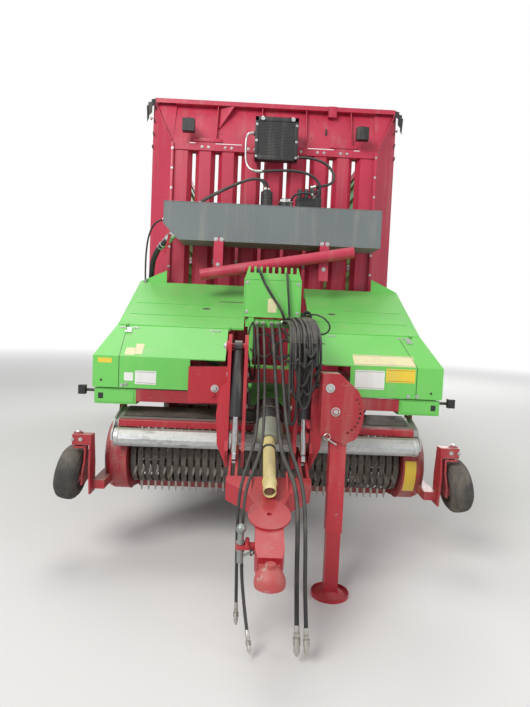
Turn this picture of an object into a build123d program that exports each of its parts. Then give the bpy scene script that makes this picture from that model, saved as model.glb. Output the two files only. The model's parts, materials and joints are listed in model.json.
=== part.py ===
from build123d import *
import os
from math import cos, hypot, pi, radians, sin, tan

os.makedirs("parts", exist_ok=True)

# Self-loading forage wagon, in millimetres: +Z up, ground at z = 0, its front towards -Y,
# the origin under the middle of its whole length.

# Overall lengths along Y
coupling_front_y = -4300
rear_y = 4300

# Load space
wall_x = 1170            # outer face of the side sheets
wall_t = 5               # sheet of the side walls
rib_depth = 30           # how far the ribs stand in
floor_top_z = 1320
floor_t = 30
top_z = 3790             # top rail of the body
front_wall_y = -1670
front_wall_x = 950       # half width of the flat front wall
corner_y = -1420         # where the corner panels meet the side walls
tail_y = 4150            # where the tailgate closes
post_t = 70              # how far the posts stand out of the sheets
post_w = 80
post_ys = (-950, 70, 1090, 2110, 3130)
rail_h = 80

# Front wall of trapezoid channels with slits between them
channel_pitch = 214
slit = 30
channel_face = 106
channel_depth = 60
front_sheet = 5
wall_head_z = 3360       # underside of the leaning upper panel
upper_top_y = -1490
upper_top_x = 1140

# Running gear
axle_ys = (800, 2300)
wheel_x = 975
tyre_r = 585
tyre_w = 600
rim_r = 286
axle_beam = 150
hub_r = 140
hub_face_x = 1005        # flange that the rim is bolted to

# Chassis
rail_x = 450
rail_w = 110
rail_low_z = 980
cheek_x = 800            # outer face of the side plates beside the rotor
cheek_t = 20
chassis_front_y = -2950
beam_s = 120             # section of the front crossbeam
beam_low_z = 1115
channel_back_y = -1250

# Drawbar, its towers and cylinders
pivot_y, pivot_z = -3180, 850
cup_r = 78
coupling_y, coupling_z = coupling_front_y + cup_r, 480
tower_x = 220            # middle between the two plates of a tower
tower_gap = 84
tower_t = 22
tower_top_z = 1640
tower_front_y = -3330
tower_tip_z = 770
bar_h = 136
upper_pin_y, upper_pin_z = -3255, 1565
lower_pin_y, lower_pin_z = -3365, 862
pin_r = 20
pin_fit = 0.3            # gap around a pin

# Drive shaft between tractor and wagon
gear_y, gear_z = -2900, 1150
pto_end_y, pto_end_z = -3790, 778
guard_r = 38
guard_t = 4
cone_r = 100

# Support leg
leg_x = 430
leg_y = -3400
leg_s = 100
leg_wall = 6
leg_pivot_x, leg_pivot_z = 400, 1195
leg_low_z = 420
foot_r = 120
foot_gap = 0.3           # between the leg's tube and the foot's
inner_s = leg_s - 2 * (leg_wall + foot_gap)

# Pickup
reel_y, reel_z = -2665, 700
tine_r = 295
tine_d = 6
tine_pitch = 52
reel_x = 985
band_r = 210
roller_y, roller_z = -2990, 883
roller_r = 64
roller_x = 1070
guard_pivot_y, guard_pivot_z = -2640, 1050
drum_in_x, drum_out_x = 1000, 1165
drum_r = 270
gauge_x, gauge_y, gauge_z = 1362, -2985, 620
gauge_r = 190
gauge_w = 157
camber = 10
castor_x, castor_y = 1300, -3070

# Rotor, with the pickup hung on the same line
rotor_y, rotor_z = -2000, 860
rotor_r = 335
rotor_core_r = 110
rotor_x = 765
knife_pivot_y, knife_pivot_z = rotor_y + 150, rotor_z - 395
knife_pin_r = 16

# Covers
cover_t = 8
cover_back_y, cover_back_z = -1790, 2050
gap_y, gap_z = -2560, 1665
crease_y, crease_z = -2872, 1442
cover_low_z = 1213
cover_out_front, cover_out_back = 1273, 1178
cover_in_left, cover_in_right = -205, 320

# Oil tank and cooler
tank_x = 930
tank_y = (-2120, -1770)
tank_z = (2400, 2720)

# Tailgate, hung at its top, and its cylinders
gate_hinge_y, gate_hinge_z = tail_y + 50, top_z - 40
lug_x = 700
lug_t = 14
gate_pin_r = 15
gate_eye_y, gate_eye_z = tail_y + 65, 3200
gate_base_y, gate_base_z = 3500, 3400
ram_x = wall_x + 48


# Helpers that add one plain shape to the part being built

def block(x, y, z, mode=Mode.ADD):
    """A box between two values on each axis."""
    with Locations(((x[0] + x[1]) / 2, (y[0] + y[1]) / 2, (z[0] + z[1]) / 2)):
        Box(x[1] - x[0], y[1] - y[0], z[1] - z[0], mode=mode)


def side_plate(points, x, thick, mode=Mode.ADD):
    """A plate outlined in (y, z), from x towards +X."""
    with BuildSketch(Plane.YZ.offset(x)) as outline:
        with BuildLine():
            Polyline(*points, close=True)
        make_face()
    extrude(outline.sketch, amount=thick, mode=mode)


def front_plate(points, y, thick, mode=Mode.ADD):
    """A plate outlined in (x, z), from y towards +Y."""
    with BuildSketch(Plane.XZ.offset(-y)) as outline:
        with BuildLine():
            Polyline(*points, close=True)
        make_face()
    extrude(outline.sketch, amount=-thick, mode=mode)


def flat_plate(points, z, thick, mode=Mode.ADD):
    """A plate outlined in (x, y), from z upwards."""
    with BuildSketch(Plane.XY.offset(z)) as outline:
        with BuildLine():
            Polyline(*points, close=True)
        make_face()
    extrude(outline.sketch, amount=thick, mode=mode)


def cross_rod(x, y, z, r, mode=Mode.ADD):
    """A round bar along X."""
    with Locations(Location(((x[0] + x[1]) / 2, y, z), (0, 90, 0))):
        Cylinder(r, x[1] - x[0], mode=mode)


def long_rod(x, y, z, r, mode=Mode.ADD):
    """A round bar along Y."""
    with Locations(Location((x, (y[0] + y[1]) / 2, z), (90, 0, 0))):
        Cylinder(r, y[1] - y[0], mode=mode)


def upright(x, y, z, r, mode=Mode.ADD):
    """A round bar along Z."""
    with Locations((x, y, (z[0] + z[1]) / 2)):
        Cylinder(r, z[1] - z[0], mode=mode)


def run_plane(a, b):
    """A plane at a that faces b, its own x along X as near as it can be."""
    way = Vector(*b) - Vector(*a)
    side = Vector(1, 0, 0) if abs(way.normalized().X) < 0.9 else Vector(0, 1, 0)
    return Plane(origin=a, x_dir=side - way.normalized() * side.dot(way.normalized()), z_dir=way)


def beam(a, b, wide, high, mode=Mode.ADD):
    """A bar of rectangular section from a to b."""
    with BuildSketch(run_plane(a, b)) as section:
        Rectangle(wide, high)
    extrude(section.sketch, amount=(Vector(*b) - Vector(*a)).length, mode=mode)


def tube(a, b, r, mode=Mode.ADD):
    """A round bar from a to b."""
    with BuildSketch(run_plane(a, b)) as section:
        Circle(r)
    extrude(section.sketch, amount=(Vector(*b) - Vector(*a)).length, mode=mode)


def turned(points, centre, along=(1, 0, 0), up=(0, 0, 1)):
    """A turned piece: (distance along the axis, radius) points, revolved about the axis."""
    facing = Vector(*along).cross(Vector(*up))
    with BuildSketch(Plane(origin=centre, x_dir=along, z_dir=facing)) as half_section:
        with BuildLine():
            Polyline(*points, close=True)
        make_face()
    revolve(half_section.sketch, axis=Axis(centre, along))


# Road wheels, each a tyre on a dished steel rim

tyre_section = (
    # along the axle, radius
    (-225, rim_r), (-285, 400), (-300, 455), (-292, 520), (-262, 566), (-150, 582),
    (0, tyre_r), (150, 582), (262, 566), (292, 520), (300, 455), (285, 400), (225, rim_r),
)
wheel_names = {
    # axle, side
    (0, -1): "front_left", (0, 1): "front_right",
    (1, -1): "rear_left", (1, 1): "rear_right",
}
for (axle, side), name in wheel_names.items():
    centre = (side * wheel_x, axle_ys[axle], tyre_r)
    with BuildPart() as tyre:
        turned([(x * tyre_w / 600, r) for x, r in tyre_section], centre)
    tyre.part.label = f"tyre_{name}"
    export_step(tyre.part, f"parts/tyre_{name}.step")

    disc = hub_face_x - wheel_x
    with BuildPart() as rim:
        turned(
            (
                # along the axle, radius
                (-240, rim_r), (-240, rim_r - 28), (-200, rim_r - 40), (disc - 8, rim_r - 52),
                (disc, 190), (disc, 0), (disc + 14, 0), (disc + 14, 182), (disc + 60, rim_r - 52),
                (200, rim_r - 40), (240, rim_r - 28), (240, rim_r),
            ),
            centre,
            along=(side, 0, 0),
        )
        with BuildSketch(Plane(origin=centre, z_dir=(side, 0, 0))):
            Circle(70)
            with PolarLocations(225 / 2 + 55, 10):
                Circle(13)
        extrude(amount=disc + 80, mode=Mode.SUBTRACT)
    rim.part.label = f"rim_{name}"
    export_step(rim.part, f"parts/rim_{name}.step")


# Axles: a square beam with brake drums, hub flanges and spigots

brake_r = 200
spigot_r = 69.95
with BuildPart() as axles:
    for y in axle_ys:
        half = axle_beam / 2
        block((-780, 780), (y - half, y + half), (tyre_r - half, tyre_r + half))
        for side in (-1, 1):
            turned(
                (
                    # along the axle, radius
                    (780, 0), (780, brake_r), (890, brake_r), (890, hub_r - 30),
                    (hub_face_x - 24, hub_r - 30), (hub_face_x - 24, hub_r),
                    (hub_face_x - pin_fit, hub_r), (hub_face_x - pin_fit, spigot_r),
                    (hub_face_x + 60, spigot_r), (hub_face_x + 70, spigot_r - 12),
                    (hub_face_x + 70, 0),
                ),
                (0, y, tyre_r),
                along=(side, 0, 0),
            )
axles.part.label = "axles"
export_step(axles.part, "parts/axles.step")

# Leaf springs under the rails, with hangers and the rocker between the axles

spring_w = 90
leaf_t = 18
leaf_count = 4
spring_half = 640
spring_drop = 110
spring_seat_z = tyre_r + axle_beam / 2
spring_r = (spring_half**2 + spring_drop**2) / (2 * spring_drop)
spring_top_z = spring_seat_z + leaf_count * leaf_t
eye_z = spring_top_z + spring_drop
rocker_y = sum(axle_ys) / 2
with BuildPart() as springs:
    for side in (-1, 1):
        for y in axle_ys:
            for leaf in range(leaf_count):
                reach = spring_half - 130 * leaf
                outer = spring_r + leaf_t * (leaf + 1)
                middle_z = spring_top_z + spring_r
                with BuildSketch(Plane.YZ.offset(side * rail_x - spring_w / 2)):
                    with Locations((y, middle_z)):
                        Circle(outer)
                        Circle(outer - leaf_t, mode=Mode.SUBTRACT)
                    with Locations((y, middle_z - outer + 150)):
                        Rectangle(2 * reach, 320, mode=Mode.INTERSECT)
                extrude(amount=spring_w)
            for clamp in (-95, 95):
                block(
                    (side * rail_x - 62, side * rail_x + 62),
                    (y + clamp - 14, y + clamp + 14),
                    (spring_seat_z, spring_top_z + 25),
                )
        for y in (axle_ys[0] - spring_half, axle_ys[1] + spring_half):
            block(
                (side * rail_x - 55, side * rail_x + 55),
                (y - 70, y + 70),
                (eye_z - 60, rail_low_z),
            )
        side_plate(
            (
                (rocker_y - 150, eye_z - 50), (rocker_y - 150, eye_z + 30),
                (rocker_y - 60, rail_low_z), (rocker_y + 60, rail_low_z),
                (rocker_y + 150, eye_z + 30), (rocker_y + 150, eye_z - 50),
            ),
            side * rail_x - 55,
            110,
        )
springs.part.label = "springs"
export_step(springs.part, "parts/springs.step")

# Chassis: side plates beside the rotor, rails, cross members and the rear bumper

rail_top_z = 1200
bearer_ys = (-1040, -300, 440, 1180, 1920, 2660, 3400)
shaft_r = 50             # rotor's stub shafts, in the side plates
shaft_fit = 0.05
boss_r = 95              # rings on the side plates that the pickup's arms turn on
boss_out_x = 850
inner_x = tower_x - tower_gap / 2 - tower_t
arch_z = (1300, 1400)
beam_face_y = crease_y + cover_t + 4   # the crossbeam's outer halves lie behind the covers
beam_top_z = cover_low_z - 8
beam_end_x = 960
with BuildPart() as main_frame:
    side_plate(
        (
            (beam_face_y + 5, beam_low_z), (beam_face_y + 5, beam_top_z),
            (-2200, floor_top_z - floor_t), (channel_back_y, floor_top_z - floor_t),
            (channel_back_y, 1080), (rotor_y + 560, 850), (rotor_y + 340, 520),
            (knife_pivot_y + 70, 516), (knife_pivot_y + 32, knife_pivot_z - 40),
            (knife_pivot_y - 32, knife_pivot_z - 40), (knife_pivot_y - 70, 512),
            (rotor_y - 220, 506), (rotor_y - 312, 664), (rotor_y - 350, 960), (-2600, beam_low_z),
        ),
        cheek_x - cheek_t,
        cheek_t,
    )
    cross_rod((cheek_x, boss_out_x), rotor_y, rotor_z, boss_r)
    cross_rod((cheek_x - 30, boss_out_x), rotor_y, rotor_z, shaft_r + shaft_fit, mode=Mode.SUBTRACT)
    cross_rod((cheek_x - 30, cheek_x + 5), knife_pivot_y, knife_pivot_z, knife_pin_r + shaft_fit, mode=Mode.SUBTRACT)
    block(
        (rail_x - rail_w / 2, rail_x + rail_w / 2),
        (channel_back_y + 60, tail_y - 20),
        (rail_low_z, rail_top_z),
    )
    # half of the front crossbeam, and of the arch over the gearbox
    front_beam_y = (chassis_front_y, chassis_front_y + beam_s)
    block((inner_x, inner_x + beam_s), front_beam_y, (beam_low_z, arch_z[1]))
    block((inner_x + 10, beam_end_x), (beam_face_y, beam_face_y + beam_s), (beam_low_z, beam_top_z))
    block((0, inner_x), front_beam_y, arch_z)
    mirror(about=Plane.YZ)
    block(
        (-cheek_x, cheek_x),
        (channel_back_y, channel_back_y + beam_s),
        (1080, rail_top_z + 90),
    )
    for y in bearer_ys:
        block((-wall_x + wall_t, wall_x - wall_t), (y - 35, y + 35), (rail_top_z, floor_top_z - floor_t))
    block((-wall_x + wall_t, wall_x - wall_t), (tail_y - 110, tail_y - 20), (rail_low_z, floor_top_z - floor_t))
    for side in (-1, 1):
        beam((side * 640, tail_y - 60, rail_low_z), (side * 640, tail_y - 60, 560), 70, 70)
    block((-1150, 1150), (tail_y - 110, rear_y - 80), (470, 570))
main_frame.part.label = "main_frame"
export_step(main_frame.part, "parts/main_frame.step")

# Towers in front of the crossbeam: two outlined plates each, the drawbar's pivot low in
# them and the upper pin of a drawbar cylinder between their tops

tower_outline = (
    # y, z
    (chassis_front_y, arch_z[1] + 20), (tower_front_y + 150, tower_top_z - 30),
    (tower_front_y + 105, tower_top_z), (tower_front_y + 45, tower_top_z),
    (tower_front_y, tower_top_z - 60), (tower_front_y, 960), (tower_front_y - 25, 900),
    (tower_front_y + 65, tower_tip_z), (pivot_y + 40, pivot_z - 70), (pivot_y + 55, pivot_z),
    (pivot_y + 50, beam_low_z - 60), (chassis_front_y, beam_low_z),
)
with BuildPart() as towers:
    for inner in (tower_x - tower_gap / 2 - tower_t, tower_x + tower_gap / 2):
        side_plate(tower_outline, inner, tower_t)
    # the bent front flange of the outer plate, with its pointed foot
    outer_x = tower_x + tower_gap / 2 + tower_t
    front_plate(
        (
            (outer_x, 1330), (outer_x, 880), (outer_x - 8, tower_tip_z + 30), (outer_x + 50, 930),
            (outer_x + 62, 1130), (outer_x + 40, 1300),
        ),
        tower_front_y + 2,
        12,
    )
    for y, z in ((upper_pin_y, upper_pin_z), (pivot_y, pivot_z)):
        cross_rod((tower_x - 60, tower_x + 60), y, z, pin_r)
        cross_rod((outer_x, outer_x + 14), y, z, pin_r + 14)
    block((tower_x - tower_gap / 2, tower_x + tower_gap / 2), (chassis_front_y - 60, chassis_front_y), (1080, 1260))
    mirror(about=Plane.YZ)
    # cross plate above the drive shaft joins the towers
    block((-inner_x, inner_x), (chassis_front_y - 14, chassis_front_y), arch_z)
    # plate beside the left tower
    front_plate(
        ((-575, 1140), (-575, 1392), (-outer_x, 1405), (-outer_x, 1140)), chassis_front_y - 12, 12
    )
    with BuildSketch(Plane.XZ.offset(-(chassis_front_y - 12))):
        with Locations((-400, 1205)):
            Circle(17)
    extrude(amount=16)
towers.part.label = "towers"
export_step(towers.part, "parts/towers.step")

# Bracket of the support leg: two plates with an arc of stop holes, right of the towers

arc_r = 175
arc_holes = 9
bracket_low_z = leg_pivot_z - 205
bracket_gap = leg_s + 8
bracket_t = 12
with BuildPart() as leg_bracket:
    for y in (leg_y - bracket_gap / 2 - bracket_t, leg_y + bracket_gap / 2):
        with BuildSketch(Plane.XZ.offset(-y)):
            with BuildLine():
                a = (leg_pivot_x + 20, leg_pivot_z + arc_r + 60)
                b = (leg_pivot_x + arc_r - 40, leg_pivot_z + arc_r - 40)
                c = (leg_pivot_x + arc_r, leg_pivot_z)
                d = (leg_pivot_x + arc_r - 45, leg_pivot_z - 170)
                Line(a, b)
                ThreePointArc(b, c, d)
                Polyline(d, (leg_pivot_x + 60, bracket_low_z), (leg_pivot_x - 90, bracket_low_z + 60),
                         (leg_pivot_x - 90, leg_pivot_z + arc_r + 60), a)
            make_face()
            with Locations((leg_pivot_x, leg_pivot_z)):
                Circle(pin_r + shaft_fit, mode=Mode.SUBTRACT)
                with PolarLocations(arc_r - 22, arc_holes, start_angle=-58, angular_range=100):
                    Circle(9, mode=Mode.SUBTRACT)
        extrude(amount=-bracket_t)
    # web to the crossbeam behind it, and a gusset over the top
    back_y = leg_y + bracket_gap / 2 + bracket_t
    block((leg_pivot_x - 50, leg_pivot_x + 40), (back_y, beam_face_y), (beam_low_z, beam_top_z))
    front_y = leg_y - bracket_gap / 2
    cap_z = leg_pivot_z + arc_r + 60
    block((leg_pivot_x - 90, leg_pivot_x + 20), (front_y, back_y - bracket_t), (cap_z - 15, cap_z))
leg_bracket.part.label = "leg_bracket"
export_step(leg_bracket.part, "parts/leg_bracket.step")

# Support leg: a square tube that swings out sideways, and the foot that slides in it

with BuildPart() as leg_tube:
    half = leg_s / 2
    block((leg_x - half, leg_x + half), (leg_y - half, leg_y + half), (leg_low_z, leg_pivot_z - 35))
    block(
        (leg_pivot_x - half, leg_x + half), (leg_y - half, leg_y + half), (leg_pivot_z - 95, leg_pivot_z + 45)
    )
    bore = half - leg_wall
    block((leg_x - bore, leg_x + bore), (leg_y - bore, leg_y + bore), (leg_low_z, leg_pivot_z - 110),
          mode=Mode.SUBTRACT)
    long_rod(leg_pivot_x, (leg_y - bracket_gap / 2 - bracket_t - 12, back_y - pin_fit), leg_pivot_z, pin_r)
leg_tube.part.label = "leg_tube"
export_step(leg_tube.part, "parts/leg_tube.step")

with BuildPart() as leg_foot:
    half = inner_s / 2
    block((leg_x - half, leg_x + half), (leg_y - half, leg_y + half), (12, 700))
    with Locations((leg_x, leg_y, 6)):
        Cylinder(foot_r, 12)
    with Locations((leg_x, leg_y, 12 + 15)):
        Cone(foot_r - 25, half, 30)
leg_foot.part.label = "leg_foot"
export_step(leg_foot.part, "parts/leg_foot.step")


# Drawbar: two yoke arms in the towers, a cross piece and the long box to the coupling

bar_length = hypot(pivot_y - coupling_y, pivot_z - coupling_z)
bar_end = cup_r + 8
bar_way = ((coupling_y - pivot_y) / bar_length, (coupling_z - pivot_z) / bar_length)
bar_plane = Plane(origin=(0, pivot_y, pivot_z), x_dir=(1, 0, 0), z_dir=(0, bar_way[1], -bar_way[0]))
yoke_front = 415         # along the bar from its pivot
yoke_back = 360
yoke_x = 250
arm_t = 16
arm_gap = 26             # between the two plates of an arm, round a cylinder's eye
eye_slack = 2.6          # the cylinder's eye drifts this far from its pin


def on_bar(along, above):
    """The (y, z) of a point by its distance along the drawbar and above its middle."""
    spot = bar_plane.from_local_coords(Vector(0, -along, above))
    return spot.Y, spot.Z


with BuildPart() as drawbar:
    with BuildSketch(bar_plane.offset(-bar_h / 2)):
        with BuildLine():
            Polyline(
                (62, -bar_length + bar_end), (75, -960), (75, -640), (122, -520), (yoke_x + 6, -yoke_front),
                (yoke_x + 6, -yoke_back), (-yoke_x - 6, -yoke_back), (-yoke_x - 6, -yoke_front),
                (-122, -520), (-75, -640), (-75, -960), (-62, -bar_length + bar_end), close=True,
            )
        make_face()
    extrude(amount=bar_h)
    for side in (-1, 1):
        for inner in (tower_x - arm_gap / 2 - arm_t, tower_x + arm_gap / 2):
            arm_x = inner if side > 0 else -inner - arm_t
            side_plate(
                (
                    on_bar(-45, -30), on_bar(-45, 30), on_bar(-10, 52), on_bar(120, 62),
                    on_bar(230, 62), on_bar(yoke_back + 20, bar_h / 2), on_bar(yoke_back + 20, -bar_h / 2),
                    on_bar(60, -60),
                ),
                arm_x,
                arm_t,
            )
            cross_rod((arm_x - 2, arm_x + arm_t + 2), pivot_y, pivot_z, pin_r + shaft_fit, mode=Mode.SUBTRACT)
        cross_rod(
            (side * tower_x - arm_gap / 2 - 1, side * tower_x + arm_gap / 2 + 1), lower_pin_y, lower_pin_z, pin_r
        )
        # sloping web of the yoke
        web = [on_bar(yoke_back, bar_h / 2), on_bar(yoke_back, bar_h / 2 + 45), on_bar(510, bar_h / 2)]
        side_plate(web, side * 108 - 6, 12)
drawbar.part.label = "drawbar"
export_step(drawbar.part, "parts/drawbar.step")

# Ball coupling at the front end: a domed cup over an 80 mm ball, with its neck

ball_r = 40.5
mouth_depth = 18
with BuildPart() as ball_coupling:
    with Locations((0, coupling_y, coupling_z)):
        Sphere(cup_r)
    with Locations((0, coupling_y, coupling_z - cup_r / 2 - mouth_depth / 2)):
        Box(3 * cup_r, 3 * cup_r, cup_r - mouth_depth, mode=Mode.SUBTRACT)
    with Locations((0, coupling_y, coupling_z)):
        Sphere(ball_r, mode=Mode.SUBTRACT)
    upright(0, coupling_y, (coupling_z - 60, coupling_z), ball_r, mode=Mode.SUBTRACT)
    with BuildSketch(bar_plane.offset(-34)):
        with BuildLine():
            Polyline(
                (-56, -bar_length + bar_end), (-40, -bar_length + ball_r + 8),
                (40, -bar_length + ball_r + 8), (56, -bar_length + bar_end), close=True,
            )
        make_face()
    extrude(amount=62)
    neck_top = coupling_z + cup_r
    upright(0, coupling_y, (neck_top - 8, neck_top + 14), 26)
ball_coupling.part.label = "ball_coupling"
export_step(ball_coupling.part, "parts/ball_coupling.step")

# Round plate on the drawbar with its tab, and the arm with the parking pin

disc_at = 712            # along the bar
disc_r = 118
with BuildPart() as drawbar_fittings:
    with BuildSketch(bar_plane.offset(bar_h / 2)):
        with Locations((0, -disc_at)):
            Circle(disc_r)
        with Locations((0, -disc_at + disc_r)):
            Rectangle(90, 80)
        with Locations((0, -disc_at)):
            Circle(14, mode=Mode.SUBTRACT)
    extrude(amount=12)
    pin_y, pin_z = on_bar(870, 0)
    block((-175, -75), (pin_y - 25, pin_y + 25), (pin_z - 12, pin_z + 12))
    upright(-150, pin_y, (pin_z - 90, pin_z + 75), 15)
    with Locations((-150, pin_y, pin_z + 92)):
        Sphere(26)
    long_rod(-115, (pin_y - 70, pin_y + 40), pin_z + 20, 12)
drawbar_fittings.part.label = "drawbar_fittings"
export_step(drawbar_fittings.part, "parts/drawbar_fittings.step")

# Drawbar cylinders, both barrels on the upper pins and both rods on the drawbar

barrel_r = 42
barrel_bore = 33
rod_r = 20
ram_length = hypot(upper_pin_y - lower_pin_y, upper_pin_z - lower_pin_z)
ram_way = Vector(0, lower_pin_y - upper_pin_y, lower_pin_z - upper_pin_z).normalized()
barrel_end = 455
for name, side_x in (("drawbar_barrels", tower_x), ("drawbar_rods", tower_x)):
    with BuildPart() as ram:
        for side in (-1, 1):
            top = Vector(side * side_x, upper_pin_y, upper_pin_z)
            low = Vector(side * side_x, lower_pin_y, lower_pin_z)
            if name == "drawbar_barrels":
                cross_rod((top.X - 24, top.X + 24), top.Y, top.Z, 38)
                tube(top + ram_way * 30, top + ram_way * barrel_end, barrel_r)
                tube(top + ram_way * 90, top + ram_way * (barrel_end - 30), barrel_bore, mode=Mode.SUBTRACT)
                tube(top + ram_way * 100, top + ram_way * (barrel_end + 1), rod_r + shaft_fit, mode=Mode.SUBTRACT)
                cross_rod((top.X - 30, top.X + 30), top.Y, top.Z, pin_r + shaft_fit, mode=Mode.SUBTRACT)
            else:
                cross_rod((low.X - 11, low.X + 11), low.Y, low.Z, 38)
                tube(top + ram_way * 300, low - ram_way * 30, rod_r)
                tube(top + ram_way * 300, top + ram_way * 330, barrel_bore - pin_fit)
                cross_rod((low.X - 12, low.X + 12), low.Y, low.Z, pin_r + eye_slack, mode=Mode.SUBTRACT)
    ram.part.label = name
    export_step(ram.part, f"parts/{name}.step")

# Gearbox behind the towers, with the ball of its input stub

ball_end_r = 25
with BuildPart() as gearbox:
    block((-125, 125), (gear_y + 70, gear_y + 330), (gear_z - 27, gear_z + 140))
    # mounting plate under the arch
    block((-100, 100), (gear_y + 20, gear_y + 90), (gear_z + 128, arch_z[0]))
    long_rod(0, (gear_y + 28, gear_y + 70), gear_z + 20, 60)
    long_rod(0, (gear_y, gear_y + 30), gear_z, 20)
    with Locations((0, gear_y, gear_z)):
        Sphere(ball_end_r)
    # port of the suction hose
    cross_rod((-150, -124), gear_y + 250, gear_z + 75, 30)
gearbox.part.label = "gearbox"
export_step(gearbox.part, "parts/gearbox.step")

# Drive shaft resting over the drawbar: guard tube, cone and bellows, and the shaft in them

pto_length = hypot(pto_end_y - gear_y, pto_end_z - gear_z)
pto_way = (0, (pto_end_y - gear_y) / pto_length, (pto_end_z - gear_z) / pto_length)
pto_start = (0, gear_y, gear_z)
rib_count = 7
rib_from, rib_to = 70, 330
rib_pitch = (rib_to - rib_from) / rib_count
bellows_low, bellows_high = 82, 98
bellows = []
for rib in range(rib_count):
    at = rib_from + rib * rib_pitch
    bellows += [(at, bellows_low), (at + rib_pitch / 2, bellows_high)]
bellows += [(rib_to, bellows_low), (rib_to, bellows_low - 8), (rib_from, bellows_low - 8)]
guard_bore = guard_r - guard_t
with BuildPart() as pto_guard:
    turned(
        (
            # along the shaft, radius: the guard tube
            (440, guard_r), (440, guard_bore), (pto_length, guard_bore), (pto_length, guard_r),
            (pto_length - 70, guard_r), (pto_length - 72, guard_r + 5), (pto_length - 96, guard_r + 5),
            (pto_length - 98, guard_r),
        ),
        pto_start,
        along=pto_way,
    )
    turned(
        (
            # the cone between tube and bellows
            (rib_to, cone_r), (400, cone_r - 4), (470, guard_r + 16), (470, guard_r), (440, guard_r),
            (395, bellows_low - 4), (rib_to, bellows_low - 4),
        ),
        pto_start,
        along=pto_way,
    )
    turned(bellows, pto_start, along=pto_way)
pto_guard.part.label = "pto_guard"
export_step(pto_guard.part, "parts/pto_guard.step")

shaft_core = 16
with BuildPart() as pto_shaft:
    spot = Plane(origin=pto_start, x_dir=(1, 0, 0), z_dir=pto_way)
    turned(
        (
            (ball_end_r + pin_fit, 0), (ball_end_r + pin_fit, 26), (100, 30), (110, 62), (190, 62),
            (200, 30), (300, 26), (470, 22), (480, guard_bore - pin_fit), (520, guard_bore - pin_fit),
            (530, shaft_core), (pto_length - 14, shaft_core), (pto_length - 14, 0),
        ),
        pto_start,
        along=pto_way,
    )
    # star profile of the telescoping shaft
    with BuildSketch(spot.offset(530)):
        with PolarLocations(0, 3):
            Rectangle(2 * (guard_bore - 8), 13)
    extrude(amount=pto_length - 530 - 14)
pto_shaft.part.label = "pto_shaft"
export_step(pto_shaft.part, "parts/pto_shaft.step")


# Feed rotor: a drum with stars of tines, turning in the side plates

star_count = 9
star_pitch = 160
with BuildPart() as feed_rotor:
    cross_rod((-rotor_x, rotor_x), rotor_y, rotor_z, rotor_core_r)
    cross_rod((-boss_out_x, boss_out_x), rotor_y, rotor_z, shaft_r)
    for star in range(star_count):
        star_x = (star - (star_count - 1) / 2) * star_pitch
        with BuildSketch(Plane.YZ.offset(star_x - 6)):
            with Locations(Location((rotor_y, rotor_z, 0), (0, 0, 9 * star))):
                with PolarLocations(0, 6):
                    Polygon(
                        (60, -62), (rotor_r - 70, -20), (rotor_r, 18), (rotor_r - 60, 40), (60, 62), align=None
                    )
        extrude(amount=12)
feed_rotor.part.label = "feed_rotor"
export_step(feed_rotor.part, "parts/feed_rotor.step")

# Feed channel: the curved back that leads up to the floor, and the cover over the rotor

channel_r = rotor_r + 15
channel_t = 8
ramp = radians(-35)
start = (rotor_y + channel_r * cos(ramp), rotor_z + channel_r * sin(ramp))
climb = (floor_top_z - floor_t - start[1]) / cos(ramp)
finish = (start[0] - climb * sin(ramp), floor_top_z - floor_t)
cheek_in_x = cheek_x - cheek_t
with BuildPart() as feed_channel:
    with BuildSketch(Plane.YZ.offset(-cheek_in_x)):
        with BuildLine():
            bottom = radians(-56)
            a = (rotor_y + channel_r * cos(bottom), rotor_z + channel_r * sin(bottom))
            middle = (bottom + ramp) / 2
            b = (rotor_y + channel_r * cos(middle), rotor_z + channel_r * sin(middle))
            ThreePointArc(a, b, start)
            Line(start, finish)
            outer = channel_r + channel_t
            c = (rotor_y + outer * cos(bottom), rotor_z + outer * sin(bottom))
            d = (rotor_y + outer * cos(middle), rotor_z + outer * sin(middle))
            e = (rotor_y + outer * cos(ramp), rotor_z + outer * sin(ramp))
            f = (finish[0] + channel_t / cos(ramp), finish[1])
            Line(finish, f)
            Line(f, e)
            ThreePointArc(e, d, c)
            Line(c, a)
        make_face()
    extrude(amount=2 * cheek_in_x)
    block((-cheek_in_x, cheek_in_x), (rotor_y - 330, front_wall_y), (1236, 1244))
feed_channel.part.label = "feed_channel"
export_step(feed_channel.part, "parts/feed_channel.step")

# Knife bank: the channel's floor under the rotor with its knives, swings down at the back

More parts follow.
